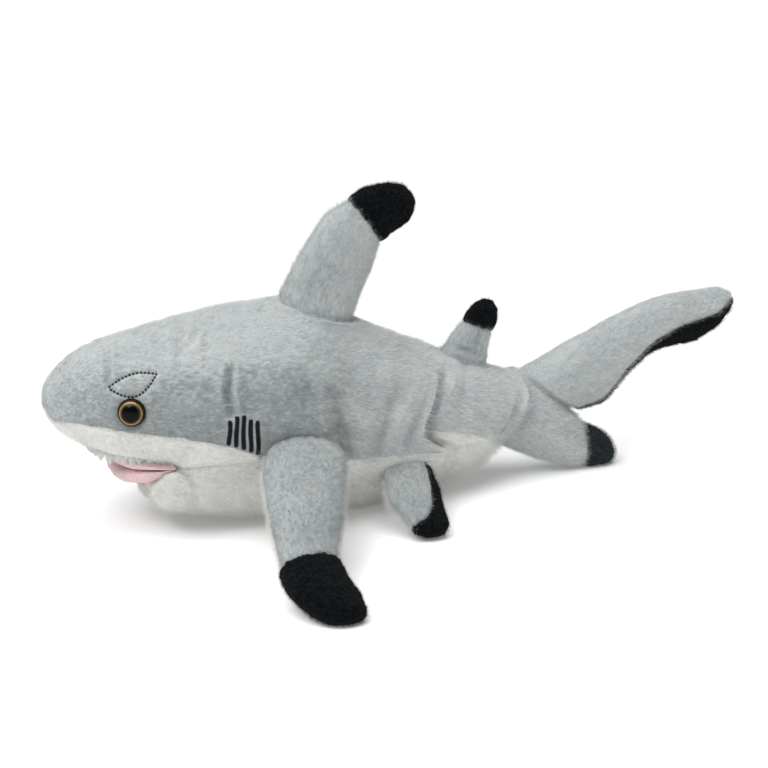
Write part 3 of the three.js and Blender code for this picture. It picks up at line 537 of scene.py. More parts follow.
class Cloth:
    """Collects grids of one piece and turns them into one mesh."""

    def __init__(self, name, shade=lambda pile: 0.0, grain=lambda pile: 0.6):
        self.name, self.shade, self.grain = name, shade, grain
        self.points, self.pile, self.faces, self.count = [], [], [], 0

    def add(self, grid, out, pile, wrap=False, pole=None):
        rows, cols = grid.shape[:2]
        facing = np.cross(grid[1:, :-1] - grid[:-1, :-1], grid[:-1, 1:] - grid[:-1, :-1])
        flip = np.sum(facing * out[:-1, :-1]) < 0
        pile = np.broadcast_to(pile, grid.shape)
        index = self.count + np.arange(rows * cols).reshape(rows, cols)
        right = np.roll(index, -1, axis=1) if wrap else index[:, 1:]
        here = index if wrap else index[:, :-1]
        quads = np.stack([here[:-1], here[1:], right[1:], right[:-1]], axis=-1).reshape(-1, 4)
        self.faces += [q[::-1] for q in quads.tolist()] if flip else quads.tolist()
        self.points.append(grid.reshape(-1, 3))
        self.pile.append(pile.reshape(-1, 3))
        self.count += rows * cols
        if pole is not None:
            for a, b in zip(here[-1], right[-1]):
                triangle = [int(a), self.count, int(b)]
                self.faces.append(triangle[::-1] if flip else triangle)
            self.points.append(np.array([pole]))
            self.pile.append(pile.reshape(-1, 3)[-1:])
            self.count += 1

    def build(self, material):
        points = np.concatenate(self.points)
        mesh = bpy.data.meshes.new(self.name)
        mesh.from_pydata((points * MM).tolist(), [], self.faces)
        mesh.validate()
        mesh.polygons.foreach_set("use_smooth", np.ones(len(mesh.polygons), bool))
        pile = mesh.attributes.new("pile", "FLOAT_VECTOR", "POINT")
        pile.data.foreach_set("vector", np.concatenate(self.pile).astype(np.float32).ravel())
        self.tone(mesh)
        mesh.materials.append(material)
        mesh.update()
        return add_object(self.name, mesh)

    def tone(self, mesh):
        """Light and dark patches of the brushed pile, plus the painted light and shade that self.shade gives,
        as a colour on every corner of the mesh.
        """
        pile = np.concatenate(self.pile)
        streaks = 0.22 * noise(pile, (2.2, 1.1, 1.1), 51) + 0.42 * noise(pile, (1.2, 0.8, 0.8), 52)
        patches = 0.10 * noise(pile, (24.0, 13.0, 13.0), 53)
        # self.shade adds painted light and shade to the pile's own streaks and patches
        value = 0.5 + self.grain(pile) * streaks + patches + self.shade(pile)
        corner = np.zeros(len(mesh.loops), np.int32)
        mesh.loops.foreach_get("vertex_index", corner)
        value = np.clip(value, 0, 1)[corner]
        colour = np.stack([value, value, value, np.ones_like(value)], axis=-1)
        layer = mesh.color_attributes.new("tone", "BYTE_COLOR", "CORNER")
        layer.data.foreach_set("color", colour.astype(np.float32).ravel())


def padded_rows(array, tucks, wrap=False):
    """Repeats a grid's border values where sewn_sheet adds a tucked strip."""
    before = (1 if tucks[0] else 0, 1 if tucks[1] else 0)
    beside = (0, 0) if wrap else (1 if tucks[2] else 0, 1 if tucks[3] else 0)
    return np.pad(array, (before, beside, (0, 0)), mode="edge")


# ---------- materials ----------

WHITEST = (1.0, 1.0, 1.0)


def new_material(name):
    material = bpy.data.materials.new(name)
    material.use_nodes = True
    return material, material.node_tree, material.node_tree.nodes["Principled BSDF"]


def set_inputs(node, values):
    for name, value in values.items():
        node.inputs[name].default_value = value


def attribute(tree, name):
    node = tree.nodes.new("ShaderNodeAttribute")
    node.attribute_name = name
    return node


def stretched_noise(tree, place, scale, detail=3.0, roughness=0.55):
    """Noise over the pile's own millimetres, stretched along its lie."""
    stretch = tree.nodes.new("ShaderNodeVectorMath")
    stretch.operation = "MULTIPLY"
    stretch.inputs[1].default_value = scale
    tree.links.new(place.outputs["Vector"], stretch.inputs[0])
    texture = tree.nodes.new("ShaderNodeTexNoise")
    set_inputs(texture, {"Scale": 1.0, "Detail": detail, "Roughness": roughness})
    tree.links.new(stretch.outputs[0], texture.inputs["Vector"])
    return texture


def ramp(tree, source, stops):
    """Turns a number into a colour by stops of (number, colour)."""
    node = tree.nodes.new("ShaderNodeValToRGB")
    elements = node.color_ramp.elements
    while len(elements) < len(stops):
        elements.new(0.5)
    for element, (position, colour) in zip(elements, stops):
        element.position = position
        element.color = (*colour, 1.0)
    tree.links.new(source, node.inputs[0])
    return node.outputs[0]


def grain_colour(tree, scale, detail, low, high):
    """Fine grain over the object's own space, between two colours."""
    place = tree.nodes.new("ShaderNodeTexCoord")
    grain = tree.nodes.new("ShaderNodeTexNoise")
    set_inputs(grain, {"Scale": scale, "Detail": detail})
    tree.links.new(place.outputs["Object"], grain.inputs["Vector"])
    return ramp(tree, grain.outputs["Fac"], [(0.3, low), (0.7, high)])


def multiply_colours(tree, a, b, factor):
    node = tree.nodes.new("ShaderNodeMix")
    node.data_type = "RGBA"
    node.blend_type = "MULTIPLY"
    node.inputs[0].default_value = factor
    tree.links.new(a, node.inputs[6])
    tree.links.new(b, node.inputs[7])
    return node.outputs[2]


def weighted_sum(tree, first, weight, second):
    node = tree.nodes.new("ShaderNodeMath")
    node.operation = "MULTIPLY_ADD"
    node.inputs[1].default_value = weight
    tree.links.new(first, node.inputs[0])
    tree.links.new(second, node.inputs[2])
    return node.outputs[0]


def roughen(tree, shader, height, strength, distance):
    """Raises the surface by a height texture."""
    relief = tree.nodes.new("ShaderNodeBump")
    set_inputs(relief, {"Strength": strength, "Distance": distance})
    tree.links.new(height, relief.inputs["Height"])
    tree.links.new(relief.outputs[0], shader.inputs["Normal"])


def plush(name, dark, light, sheen, contrast=1.0, bump=0.6):
    """Short-pile plush: streaks along the lie of the pile, patches brushed lighter and darker, and the
    painted light and shade of the tone attribute.
    """
    material, tree, shader = new_material(name)
    pile, tone_and_painted_light = attribute(tree, "pile"), attribute(tree, "tone")
    streaks = stretched_noise(tree, pile, (0.5, 1.1, 1.1), 4.0, 0.6)
    patches = stretched_noise(tree, pile, (0.05, 0.075, 0.075), 2.0, 0.5)
    fibres = stretched_noise(tree, pile, (1.1, 4.2, 4.2), 3.0, 0.6)
    spread = 0.17 / contrast
    colour = ramp(tree, streaks.outputs["Fac"], [(0.5 - spread, dark), (0.5 + spread, light)])
    shade = ramp(tree, patches.outputs["Fac"], [(0.3, (0.86, 0.87, 0.89)), (0.7, WHITEST)])
    fleck = ramp(tree, fibres.outputs["Fac"], [(0.32, (0.72, 0.73, 0.75)), (0.62, WHITEST)])
    # the tone attribute brings in the pile's streaks and the painted light and shade of each piece
    depth = ramp(tree, tone_and_painted_light.outputs["Fac"], [(0.1, (0.72, 0.73, 0.73)), (0.75, WHITEST)])
    for layer, factor in ((shade, 1.0), (fleck, 0.55), (depth, 1.0)):
        colour = multiply_colours(tree, colour, layer, factor)
    tree.links.new(colour, shader.inputs["Base Color"])
    set_inputs(shader, {
        "Roughness": 0.92, "Specular IOR Level": 0.15,
        "Sheen Weight": sheen, "Sheen Roughness": 0.45, "Sheen Tint": (*light, 1.0),
    })
    height = weighted_sum(tree, streaks.outputs["Fac"], 0.7, fibres.outputs["Fac"])
    roughen(tree, shader, height, bump, 0.0007)
    return material


def pile_fibre(name, dark, light, sheen=0.1):
    """The fibres themselves: each takes the tone of the cloth under it, painted light and shade included, and
    a little of its own.
    """
    material, tree, shader = new_material(name)
    # the tone carries painted light and shade as well as the pile's streaks
    shade = ramp(tree, attribute(tree, "tone").outputs["Fac"], [(0.2, dark), (0.8, light)])
    own = tree.nodes.new("ShaderNodeHairInfo")
    vary = ramp(tree, own.outputs["Random"], [(0.0, (0.72, 0.72, 0.73)), (1.0, WHITEST)])
    tree.links.new(multiply_colours(tree, shade, vary, 1.0), shader.inputs["Base Color"])
    set_inputs(shader, {"Roughness": 0.85, "Specular IOR Level": 0.12, "Sheen Weight": sheen})
    return material


FIBRE_RADIUS = 0.055
FIBRE_SPREAD = 0.45  # how far single fibres stray from the common lie


def grow_pile(piece, fibre, density, length, lie, seed, bare=None):
    """Covers a piece with short fibres that lean along lie; bare marks the vertices without any."""
    area = sum(polygon.area for polygon in piece.data.polygons) / MM**2
    piece.data.materials.append(fibre)
    system = piece.modifiers.new("pile", "PARTICLE_SYSTEM").particle_system
    system.seed = seed
    if bare is not None:
        group = piece.vertex_groups.new(name="pile_density")
        group.add(np.flatnonzero(~bare).tolist(), 1.0, "REPLACE")
        system.vertex_group_density = group.name
    settings = system.settings
    settings.type = "HAIR"
    settings.count = int(area * density * (1.0))
    settings.hair_length = length * MM
    settings.hair_step = 3
    settings.display_step = settings.render_step = 2
    settings.emit_from = "FACE"
    settings.distribution = "RAND"
    settings.use_modifier_stack = False
    settings.object_align_factor = tuple(length * MM / 4 * v for v in lie)
    settings.factor_random = length * MM / 4 * FIBRE_SPREAD
    settings.root_radius = FIBRE_RADIUS * 1.0
    settings.tip_radius = FIBRE_RADIUS * 0.35
    settings.radius_scale = MM
    settings.use_close_tip = False
    settings.material = len(piece.data.materials)


def fleece(name, dark, light):
    """Looped fleece: small curls that catch a little light."""
    material, tree, shader = new_material(name)
    pile = attribute(tree, "pile")
    warp = stretched_noise(tree, pile, (0.6, 0.6, 0.6), 2.0)
    fibres = stretched_noise(tree, pile, (2.6, 2.6, 2.6), 3.0)
    bend = tree.nodes.new("ShaderNodeVectorMath")
    bend.operation = "MULTIPLY_ADD"
    bend.inputs[1].default_value = (1.6, 1.6, 1.6)
    tree.links.new(warp.outputs["Color"], bend.inputs[0])
    tree.links.new(pile.outputs["Vector"], bend.inputs[2])
    curls = tree.nodes.new("ShaderNodeTexVoronoi")
    curls.inputs["Scale"].default_value = 0.85
    tree.links.new(bend.outputs[0], curls.inputs["Vector"])
    tone = ramp(tree, curls.outputs["Distance"], [(0.1, light), (0.65, dark)])
    fleck = ramp(tree, fibres.outputs["Fac"], [(0.35, (0.5, 0.5, 0.5)), (0.65, WHITEST)])
    tree.links.new(multiply_colours(tree, tone, fleck, 0.8), shader.inputs["Base Color"])
    set_inputs(shader, {
        "Roughness": 0.95, "Specular IOR Level": 0.05, "Sheen Weight": 0.03, "Sheen Roughness": 0.5,
    })
    height = weighted_sum(tree, curls.outputs["Distance"], -0.8, fibres.outputs["Fac"])
    roughen(tree, shader, height, 0.9, 0.0009)
    return material


def thread(name, dark, light, roughness):
    """Embroidery thread: fine twisted strands across the stitches."""
    material, tree, shader = new_material(name)
    strands = stretched_noise(tree, attribute(tree, "pile"), (7.0, 0.8, 0.8), 2.0)
    tone = ramp(tree, strands.outputs["Fac"], [(0.35, dark), (0.65, light)])
    tree.links.new(tone, shader.inputs["Base Color"])
    set_inputs(shader, {"Roughness": roughness, "Specular IOR Level": 0.04})
    roughen(tree, shader, strands.outputs["Fac"], 0.7, 0.0002)
    return material


def eye_paint(name):
    """Painted rings under a clear dome. The pile attribute holds the share of the eye's radius."""
    material, tree, shader = new_material(name)
    split = tree.nodes.new("ShaderNodeSeparateXYZ")
    tree.links.new(attribute(tree, "pile").outputs["Vector"], split.inputs[0])
    rings = ramp(tree, split.outputs[0], [
        (0.0, (0.001, 0.001, 0.001)),
        (0.56, (0.001, 0.001, 0.002)),
        (0.63, (0.030, 0.022, 0.012)),
        (0.70, (0.070, 0.048, 0.020)),
        (0.765, (0.34, 0.235, 0.085)),
        (0.81, (0.24, 0.155, 0.050)),
        (0.85, (0.022, 0.015, 0.007)),
        (1.0, (0.008, 0.007, 0.006)),
    ])
    speckle = grain_colour(tree, 900.0, 3.0, (0.72, 0.72, 0.72), WHITEST)
    tree.links.new(multiply_colours(tree, rings, speckle, 0.6), shader.inputs["Base Color"])
    metal = ramp(tree, split.outputs[0], [
        (0.70, (0.0, 0.0, 0.0)), (0.79, (0.6, 0.6, 0.6)), (0.86, (0.1, 0.1, 0.1)), (0.9, (0.0, 0.0, 0.0)),
    ])
    tree.links.new(metal, shader.inputs["Metallic"])
    set_inputs(shader, {
        "Roughness": 0.35, "Specular IOR Level": 0.02, "Coat Weight": 0.16, "Coat Roughness": 0.04,
    })
    return material


def washer_plastic(name):
    material, tree, shader = new_material(name)
    colour = grain_colour(tree, 600.0, 2.0, (0.62, 0.62, 0.58), (0.72, 0.72, 0.68))
    tree.links.new(colour, shader.inputs["Base Color"])
    shader.inputs["Roughness"].default_value = 0.45
    return material


def floor_paper(name):
    material, tree, shader = new_material(name)
    colour = grain_colour(tree, 40.0, 2.0, (0.85, 0.85, 0.85), (0.86, 0.86, 0.86))
    tree.links.new(colour, shader.inputs["Base Color"])
    set_inputs(shader, {
        "Roughness": 0.9, "Specular IOR Level": 0.1,
        "Emission Color": (1.0, 1.0, 1.0, 1.0), "Emission Strength": 0.15,
    })
    return material


GREY = plush("grey_plush", (0.37, 0.397, 0.395), (0.510, 0.535, 0.528), 0.2)
WHITE = plush("white_plush", (0.60, 0.605, 0.565), (0.80, 0.80, 0.765), 0.2, 0.7, 0.45)
BLACK = fleece("black_fleece", (0.0012, 0.0018, 0.0024), (0.0085, 0.011, 0.013))
# painted sheen: a lighter copy of the black fleece, for the lower tail tip
SHEEN_PAINTED_BLACK = fleece("sheen_painted_black_fleece", (0.012, 0.017, 0.020), (0.045, 0.060, 0.066))
PINK = plush("pink_velour", (0.71, 0.49, 0.495), (0.82, 0.60, 0.60), 0.2, 0.6, 0.15)
GILL_THREAD = thread("gill_thread", (0.003, 0.004, 0.005), (0.016, 0.018, 0.020), 0.55)
BROW_THREAD = thread("brow_thread", (0.012, 0.016, 0.016), (0.05, 0.058, 0.056), 0.6)
GREY_FIBRE = pile_fibre("grey_fibre", (0.29, 0.315, 0.315), (0.78, 0.805, 0.795))
WHITE_FIBRE = pile_fibre("white_fibre", (0.70, 0.705, 0.665), (0.92, 0.92, 0.885))
BLACK_FIBRE = pile_fibre("black_fibre", (0.002, 0.003, 0.004), (0.012, 0.015, 0.018), 0.0)
# painted sheen: lighter black fibres, for the lower tail tip
SHEEN_PAINTED_FIBRE = pile_fibre("sheen_painted_fibre", (0.020, 0.027, 0.030), (0.060, 0.077, 0.084), 0.0)
FIBRES = {  # fibre material, fibres to a square millimetre, length
    GREY.name: (GREY_FIBRE, 3.4, 1.4),
    WHITE.name: (WHITE_FIBRE, 3.0, 2.2),
    BLACK.name: (BLACK_FIBRE, 3.5, 1.0),
    SHEEN_PAINTED_BLACK.name: (SHEEN_PAINTED_FIBRE, 3.5, 1.0),
}
EYE_PAINT = eye_paint("eye_paint")
WASHER = washer_plastic("washer_plastic")


# ---------- trunk and tail skins ----------


def body_rows(low, high):
    """Row places along the body, closer together at the nose."""
    share = np.linspace(0, 1, steps_between(low, high, SPACING) + 1)
    if low < BODY[2, 0]:
        share = share ** 1.25
    return low + (high - low) * share


def even_columns(place, x):
    """Columns at equal steps of arc on a surface place(x, share), for each row's x."""
    dense = np.broadcast_to(np.linspace(0, 1, 241), (len(x), 241))
    points = place(x[:, None], dense)
    step = np.linalg.norm(np.diff(points, axis=1), axis=-1)
    arc = np.concatenate([np.zeros((len(x), 1)), np.cumsum(step, axis=1)], axis=1)
    count = steps_between(0, arc[:, -1].max(), SPACING)
    share = np.stack([np.interp(np.linspace(0, 1, count + 1) * a[-1], a, dense[0]) for a in arc])
    return place(x[:, None], share)


def dressed(smooth, right, seed):
    """Adds the stuffing's relief and the pile to a smooth grid; gives the grid, its normals and pile."""
    p = smooth * np.array([1.0, -1.0, 1.0]) if right else smooth
    centre = np.stack([p[..., 0], np.zeros_like(p[..., 0]), curve(BODY, p[..., 0], 2)], axis=-1)
    out = grid_normals(p, centre)
    relief = (body_relief(p) + pile_relief(p, seed)) * smoothstep(0.0, 3.0, p[..., 2])
    grid = lean(p + out * relief[..., None])
    grid[..., 2] = np.maximum(grid[..., 2], 0.0)
    return grid, out, p


def seam_wiggle(x, seed):
    """Pile laps unevenly over a seam."""
    points = np.stack([x, np.zeros_like(x), np.full_like(x, seed)], axis=-1)
    return 0.35 * noise(points, (1.6, 1, 1), seed) + 0.3 * noise(points, (4.5, 1, 1), seed + 1)


def colour_line_angle(x):
    return angle_at_height(x, curve(COLOUR_LINE, x) + seam_wiggle(x, 5.0))


def tail_line_angle(x):
    return angle_at_height(x, curve(TAIL_COLOUR_LINE, x) + seam_wiggle(x, 6.0))


def jaw_edge_angle(x):
    return angle_at_height(x, curve(JAW_EDGE, x))


def sewn_body_sheet(cloth, x, start, end, right, grooves, tucks, seed):
    low, sweep = start[:, None], (end - start)[:, None]
    smooth = even_columns(lambda x, share: body_point(x, low + sweep * share), x)
    grid, out, pile = dressed(smooth, right, seed)
    grid, out = sewn_sheet(grid, out, grooves, tucks)
    cloth.add(grid, out, padded_rows(pile, tucks))


def finish_piece(piece, nodes, lie=(0.75, 0.0, -0.1), bare=None):
    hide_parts(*nodes)
    cloth_name = piece.data.materials[0].name
    if cloth_name in FIBRES:
        fibre, density, length = FIBRES[cloth_name]
        grow_pile(piece, fibre, density, length, lie, len(piece.data.vertices) % 97, bare)
    return piece


def fix_to_trunk(piece, node):
    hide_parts(node)
    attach(piece, "trunk")


def back_shade(p):
    """Painted light and shade on the pile: painted shade in the folds, the waist fold, at the sleeve seam and
    low on the head; painted light over the forehead and the tail.
    """
    x, z = p[..., 0], p[..., 2]
    shaded_cheeks = smoothstep(84, 66, z) * smoothstep(-28, -62, x) * smoothstep(-168, -150, x)
    lit_forehead = smoothstep(74, 90, z) * smoothstep(-40, -70, x)
    folds = smoothstep(0.8, 4.0, -body_relief(p))
    waist = np.exp(-((x - WAIST_X) / 2.2) ** 2) * smoothstep(66, 56, z) * smoothstep(24, 36, z)
    seam_shade = smoothstep(SLEEVE_X - 3.0, SLEEVE_X - 1.0, x)
    # painted shade: cheeks, folds, waist fold, sleeve seam; painted light: forehead, tail
    return (
        -0.34 * shaded_cheeks + 0.30 * lit_forehead + 0.24 * smoothstep(-50, 5, x)
        - 0.35 * folds - 0.9 * waist - 0.5 * seam_shade
    )


def back_grain(p):
    """The pile is rougher on the head than on the tail."""
    return 0.4 + 0.5 * smoothstep(-20, -85, p[..., 0])


def bare_places(piece):
    """Vertices where the pile is sewn down, pressed in or covered: seams, folds, brow, eye and gills."""
    place = np.zeros(3 * len(piece.data.vertices), np.float32)
    piece.data.attributes["pile"].data.foreach_get("vector", place)
    place = place.reshape(-1, 3).astype(float)
    brow, _ = distance_to_line(place, BROW_POINTS)
    eye = np.linalg.norm(place - EYE_SEAT, axis=-1)
    last = GILL["first"] + GILL["pitch"] * (len(GILL_SPANS) - 1)
    gills = (
        (place[:, 0] > GILL["first"] - 2.4) & (place[:, 0] < last + 1.4)
        & (place[:, 2] > GILL_SPANS[-1][1] - 1.0) & (place[:, 2] < GILL_SPANS[2][0] + 1.0)
    )
    waist = (place[:, 0] > WAIST_X - 3.6) & (place[:, 0] < WAIST_X + 2.6)
    waist &= (place[:, 2] > 28.0) & (place[:, 2] < 61.0)
    pressed = (body_relief(place) < -3.0) | (place[:, 0] > SLEEVE_X - 1.8) | waist
    return (brow < 1.3) | (eye < 5.8) | gills | pressed


def trunk_skins():
    nose, waist = BODY[0, 0], WAIST_X
    for side, right in (("left", False), ("right", True)):
        cloth = Cloth(f"back_{side}_skin", back_shade, back_grain)
        x = body_rows(nose, waist)
        sewn_body_sheet(cloth, x, np.zeros_like(x), colour_line_angle(x), right,
                        (0, 0, 0.25, 0.45), (0, 1.8, 1.0, 1.8), 3)
        piece = cloth.build(GREY)
        nodes = [f"back_{side}_panel"] + (["trunk_filling"] if side == "left" else [])
        finish_piece(piece, nodes, (0.9, 0.0, -0.4), bare_places(piece))
        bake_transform(piece)

        # painted light: the muzzle's white pile is painted lighter than the belly's
        cloth = Cloth(f"muzzle_{side}_skin", lambda pile: 0.22)
        x = body_rows(nose, MUZZLE_END_X)
        sewn_body_sheet(cloth, x, colour_line_angle(x), jaw_edge_angle(x), right,
                        (0, 0.6, 0.45, 0.6), (0, 1.8, 1.8, 2.2), 13)
        x = body_rows(nose, MOUTH_BACK_X + 1.6)
        sewn_body_sheet(cloth, x, jaw_edge_angle(x), np.full_like(x, 180.0), right,
                        (0, 0, 0.3, 0.2), (0, 3.0, 1.0, 0), 14)
        piece = cloth.build(WHITE)
        finish_piece(piece, [f"muzzle_{side}_panel"])
        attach(piece, "trunk")


def belly_points(x, share):
    """The belly between the jaw seams or colour lines; share runs from the left seam to the right one."""
    x, share = np.broadcast_arrays(x, share)
    edge = np.where(x < MUZZLE_END_X, jaw_edge_angle(x), colour_line_angle(x))
    edge_point = body_point(x, edge)
    swing = np.abs(2 * share - 1.0)
    angle = edge + (180 - edge) * (1 - swing)
    true = body_point(x, np.where(share < 0.5, angle, 360 - angle))
    lowest = np.where(x < -98.0, curve(THROAT, x), curve(BODY, x, 3))
    turn = (1 - swing) * np.pi / 2
    y = -np.abs(edge_point[..., 1]) * np.cos(turn) ** BELLY_POWER * np.sign(0.5 - share + 1e-12)
    z = edge_point[..., 2] - (edge_point[..., 2] - lowest) * np.sin(turn) ** BELLY_POWER
    front = np.stack([x, y, np.maximum(z, 0)], axis=-1)
    weight = smoothstep(-108.0, -92.0, x)[..., None]
    return front * (1 - weight) + true * weight


def belly_skin():
    front = THROAT[0, 0] + (THROAT[4, 0] - THROAT[0, 0]) * np.linspace(0, 1, int(26 / SPACING)) ** 1.8
    x = np.concatenate([front, body_rows(THROAT[4, 0], WAIST_X)[1:]])
    smooth = even_columns(belly_points, x)
    grid, out, pile = dressed(smooth, False, 23)
    tucks = (2.0, 1.8, 1.8, 1.8)
    grid, out = sewn_sheet(grid, out, (0, 0, 0.5, 0.5), tucks)
    cloth = Cloth("belly_skin")
    cloth.add(grid, out, padded_rows(pile, tucks))
    piece = finish_piece(cloth.build(WHITE), ["belly_panel"])
    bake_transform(piece)


def tail_skins():
    x = body_rows(WAIST_X, SLEEVE_X)
    for side, right in (("left", False), ("right", True)):
        cloth = Cloth(f"tail_{side}_skin", back_shade, back_grain)
        sewn_body_sheet(cloth, x, np.zeros_like(x), tail_line_angle(x), right,
                        (0, 0.8, 0.2, 0.5), (1.8, 3.4, 1.0, 1.8), 33)
        piece = cloth.build(GREY)
        nodes = [f"tail_{side}_panel"] + (["tail_filling"] if side == "left" else [])
        finish_piece(piece, nodes, (1.0, 0.0, -0.55), bare_places(piece))
        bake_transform(piece)
    cloth = Cloth("tail_belly_skin")
    edge = tail_line_angle(x)
    sewn_body_sheet(cloth, x, edge, 360 - edge, False, (0, 0.8, 0.5, 0.5), (1.8, 3.4, 1.8, 1.8), 43)
    piece = finish_piece(cloth.build(WHITE), ["tail_belly_panel"])
    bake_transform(piece)


trunk_skins()
belly_skin()
tail_skins()


# ---------- fins ----------

class Fin:
    """A stuffed fin: sections from root to tip, each with a leading and a trailing edge and a thickness."""

    def __init__(self, lead, trail, thick, across, seed):
        self.lead, self.trail = np.asarray(lead, float), np.asarray(trail, float)
        self.thick, self.across, self.seed = np.asarray(thick, float), np.asarray(across, float), seed
        self.folds = []
        self.gather = (0.0, 400.0)  # reach of the gathered root and of the gathered seam, if it has one
        self.reach = run_along((self.lead + self.trail) / 2)

    def read(self, values, reach):
        return curve(np.column_stack([self.reach, values]), reach)

    def creases(self, grid):
        """Folds of this fin: lines, depth, width."""
        relief = np.zeros(grid.shape[:-1])
        for line, depth, width in self.folds:
            d, along = distance_to_line(grid[..., ::2], line)
            relief = relief - depth * (0.5 + 0.5 * np.sin(np.pi * along)) * np.exp(-(d / width) ** 2)
        return relief

    def surface(self, reach, turn):
        """reach along the fin, turn round each section: 0 at the trailing edge."""
        reach, turn = np.broadcast_arrays(reach, turn)
        lead = np.stack([self.read(self.lead[:, k], reach) for k in range(3)], axis=-1)
        trail = np.stack([self.read(self.trail[:, k], reach) for k in range(3)], axis=-1)
        thick = self.read(self.thick, reach)
        half = (trail - lead) / 2
        middle = (trail + lead) / 2
        rise = np.sign(np.sin(turn)) * np.abs(np.sin(turn)) ** 0.92
        grid = middle + half * np.cos(turn)[..., None] + self.across * (thick * rise)[..., None]
        chord = np.linalg.norm(half, axis=-1)
        pile = np.stack([reach, np.cos(turn) * chord, thick * rise + 40.0 * self.seed], axis=-1)
        return grid, middle, pile

    def sheet(self, cloth, reach, turn, grooves, tucks, wrap=False, pole=False, swell=0.0, rough=None):
        reach = reach[:, None] if reach.ndim == 1 else reach
        grid, centre, pile = self.surface(reach, turn)
        out = wrapped_normals(grid, centre) if wrap else grid_normals(grid, centre)
        relief = 0.5 * noise(pile, 12.0, self.seed) + 0.25 * noise(pile, 5.5, self.seed + 1) + swell
        end = self.reach[-1]
        root = np.exp(-np.maximum(reach - self.gather[0], 0) / 6.0)
        pucker = noise(pile, (30.0, 3.4, 3.4), self.seed + 2)
        relief = relief - 0.6 * root * np.abs(pucker)
        seam = np.exp(-np.abs(reach - self.gather[1]) / 4.0)
        relief = relief - 0.45 * seam * np.abs(noise(pile, (30.0, 2.6, 2.6), self.seed + 3))
        relief = relief + (pile_relief(pile, self.seed) if rough is None else rough(pile))
        relief = relief + self.creases(grid)
        fade = np.clip((end - reach) / 4.0, 0.15, 1.0)
        grid = grid + out * (relief * fade)[..., None]
        grid, out = sewn_sheet(grid, out, grooves, tucks, wrap)
        grid[..., 2] = np.maximum(grid[..., 2], 0.05)
        last, before = grid[-1].mean(axis=0), grid[-2].mean(axis=0)
        tip = last + unit(last - before) * 0.3 if pole else None
        cloth.add(grid, out, padded_rows(pile, tucks, wrap), wrap=wrap, pole=tip)


def fleece_curls(seed):
    def curls(pile):
        lumps = np.abs(noise(pile, 1.9, seed)) + 0.6 * np.abs(noise(pile, 1.2, seed + 1))
        return 0.62 * lumps + 0.2 * noise(pile, 4.0, seed + 2)
    return curls


def edge_turns(low, high, span):
    return np.linspace(low, high, steps_between(0, span, SPACING) + 1)


def rows_between(low, high):
    return np.linspace(low, high, steps_between(low, high, SPACING) + 1)


def spread_rows(low, high):
    """Row places between two limits that may differ from column to column."""
    low, high = np.broadcast_arrays(np.asarray(low, float), np.asarray(high, float))
    count = steps_between(0, np.abs(high - low).max(), SPACING)
    return low + (high - low) * np.linspace(0, 1, count + 1)[:, None]


def sew_fin(name, fin, seam, faces, slots, body, hinge, outward, slant=None,
            painted_light_and_shade=0.0):
    """Two faces sewn edge to edge, a fleece cover over the tip.

    slant: where the cover's seam runs, if not straight across. The last argument is how much lighter the pile
    is painted, as painted light; below zero it is painted shade."""
    split = fin.reach[seam]
    fin.gather = (fin.reach[1], split)

    def seam_at(turn):
        wobble = 0.25 * np.sin(turn * 9.0 + fin.seed)
        if slant is None:
            return np.full(np.shape(turn), split) + wobble
        return curve(slant, np.cos(turn)) + wobble

    chord = np.linalg.norm(fin.trail - fin.lead, axis=1).max()
    span = chord * 1.25
    hinge, outward = np.asarray(hinge, float), np.asarray(outward, float)
    for face, slot, low, high in ((faces[0], slots[0], 0.0, np.pi), (faces[1], slots[1], 0.0, -np.pi)):
        cloth = Cloth(f"{name}_{face}_skin", lambda pile: painted_light_and_shade)
        turns = edge_turns(low, high, span)
        fin.sheet(cloth, spread_rows(0.0, seam_at(turns)), turns, (0, 0.9, 0.5, 0.5), (0, 2.2, 1.2, 1.2))
        piece = cloth.build(GREY if slot == "grey_plush" else WHITE)
        nodes = [f"{name}_{face}_panel"] + ([f"{name}_filling"] if face == faces[0] else [])
        finish_piece(piece, nodes, tuple(outward))
        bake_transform(piece)
    cloth = Cloth(f"{name}_tip_skin")
    turns = np.linspace(0, 2 * np.pi, steps_between(0, 2 * span, SPACING), endpoint=False)
    fin.sheet(cloth, spread_rows(seam_at(turns), fin.reach[-1]), turns, (0.7, 0, 0, 0), (2.2, 0, 0, 0),
              wrap=True, pole=True, swell=0.3, rough=fleece_curls(fin.seed))
    piece = finish_piece(cloth.build(BLACK), [f"{name}_tip_cover"], tuple(0.4 * outward))
    if slant is None:
        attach(piece, body)
    else:
        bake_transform(piece)


def upright(rows, seed):
    rows = np.asarray(rows, float)
    zero = np.zeros(len(rows))
    lead = np.column_stack([rows[:, 0], zero, rows[:, 1]])
    trail = np.column_stack([rows[:, 2], zero, rows[:, 3]])
    return Fin(lead, trail, rows[:, 4], (0, 1, 0), seed)


def side_fin(rows, root, slope, side, seed):
    rows = np.asarray(rows, float)
    out = np.array([0.0, -math.cos(slope) * side, -math.sin(slope)])
    base = np.array([0.0, root[0] * side, root[1]]) + rows[:, :1] * out
    lead, trail = base.copy(), base.copy()
    lead[:, 0], trail[:, 0] = rows[:, 1], rows[:, 2]
    across = np.array([0.0, -math.sin(slope) * side, math.cos(slope)])
    return Fin(lead, trail, rows[:, 3], across, seed), out


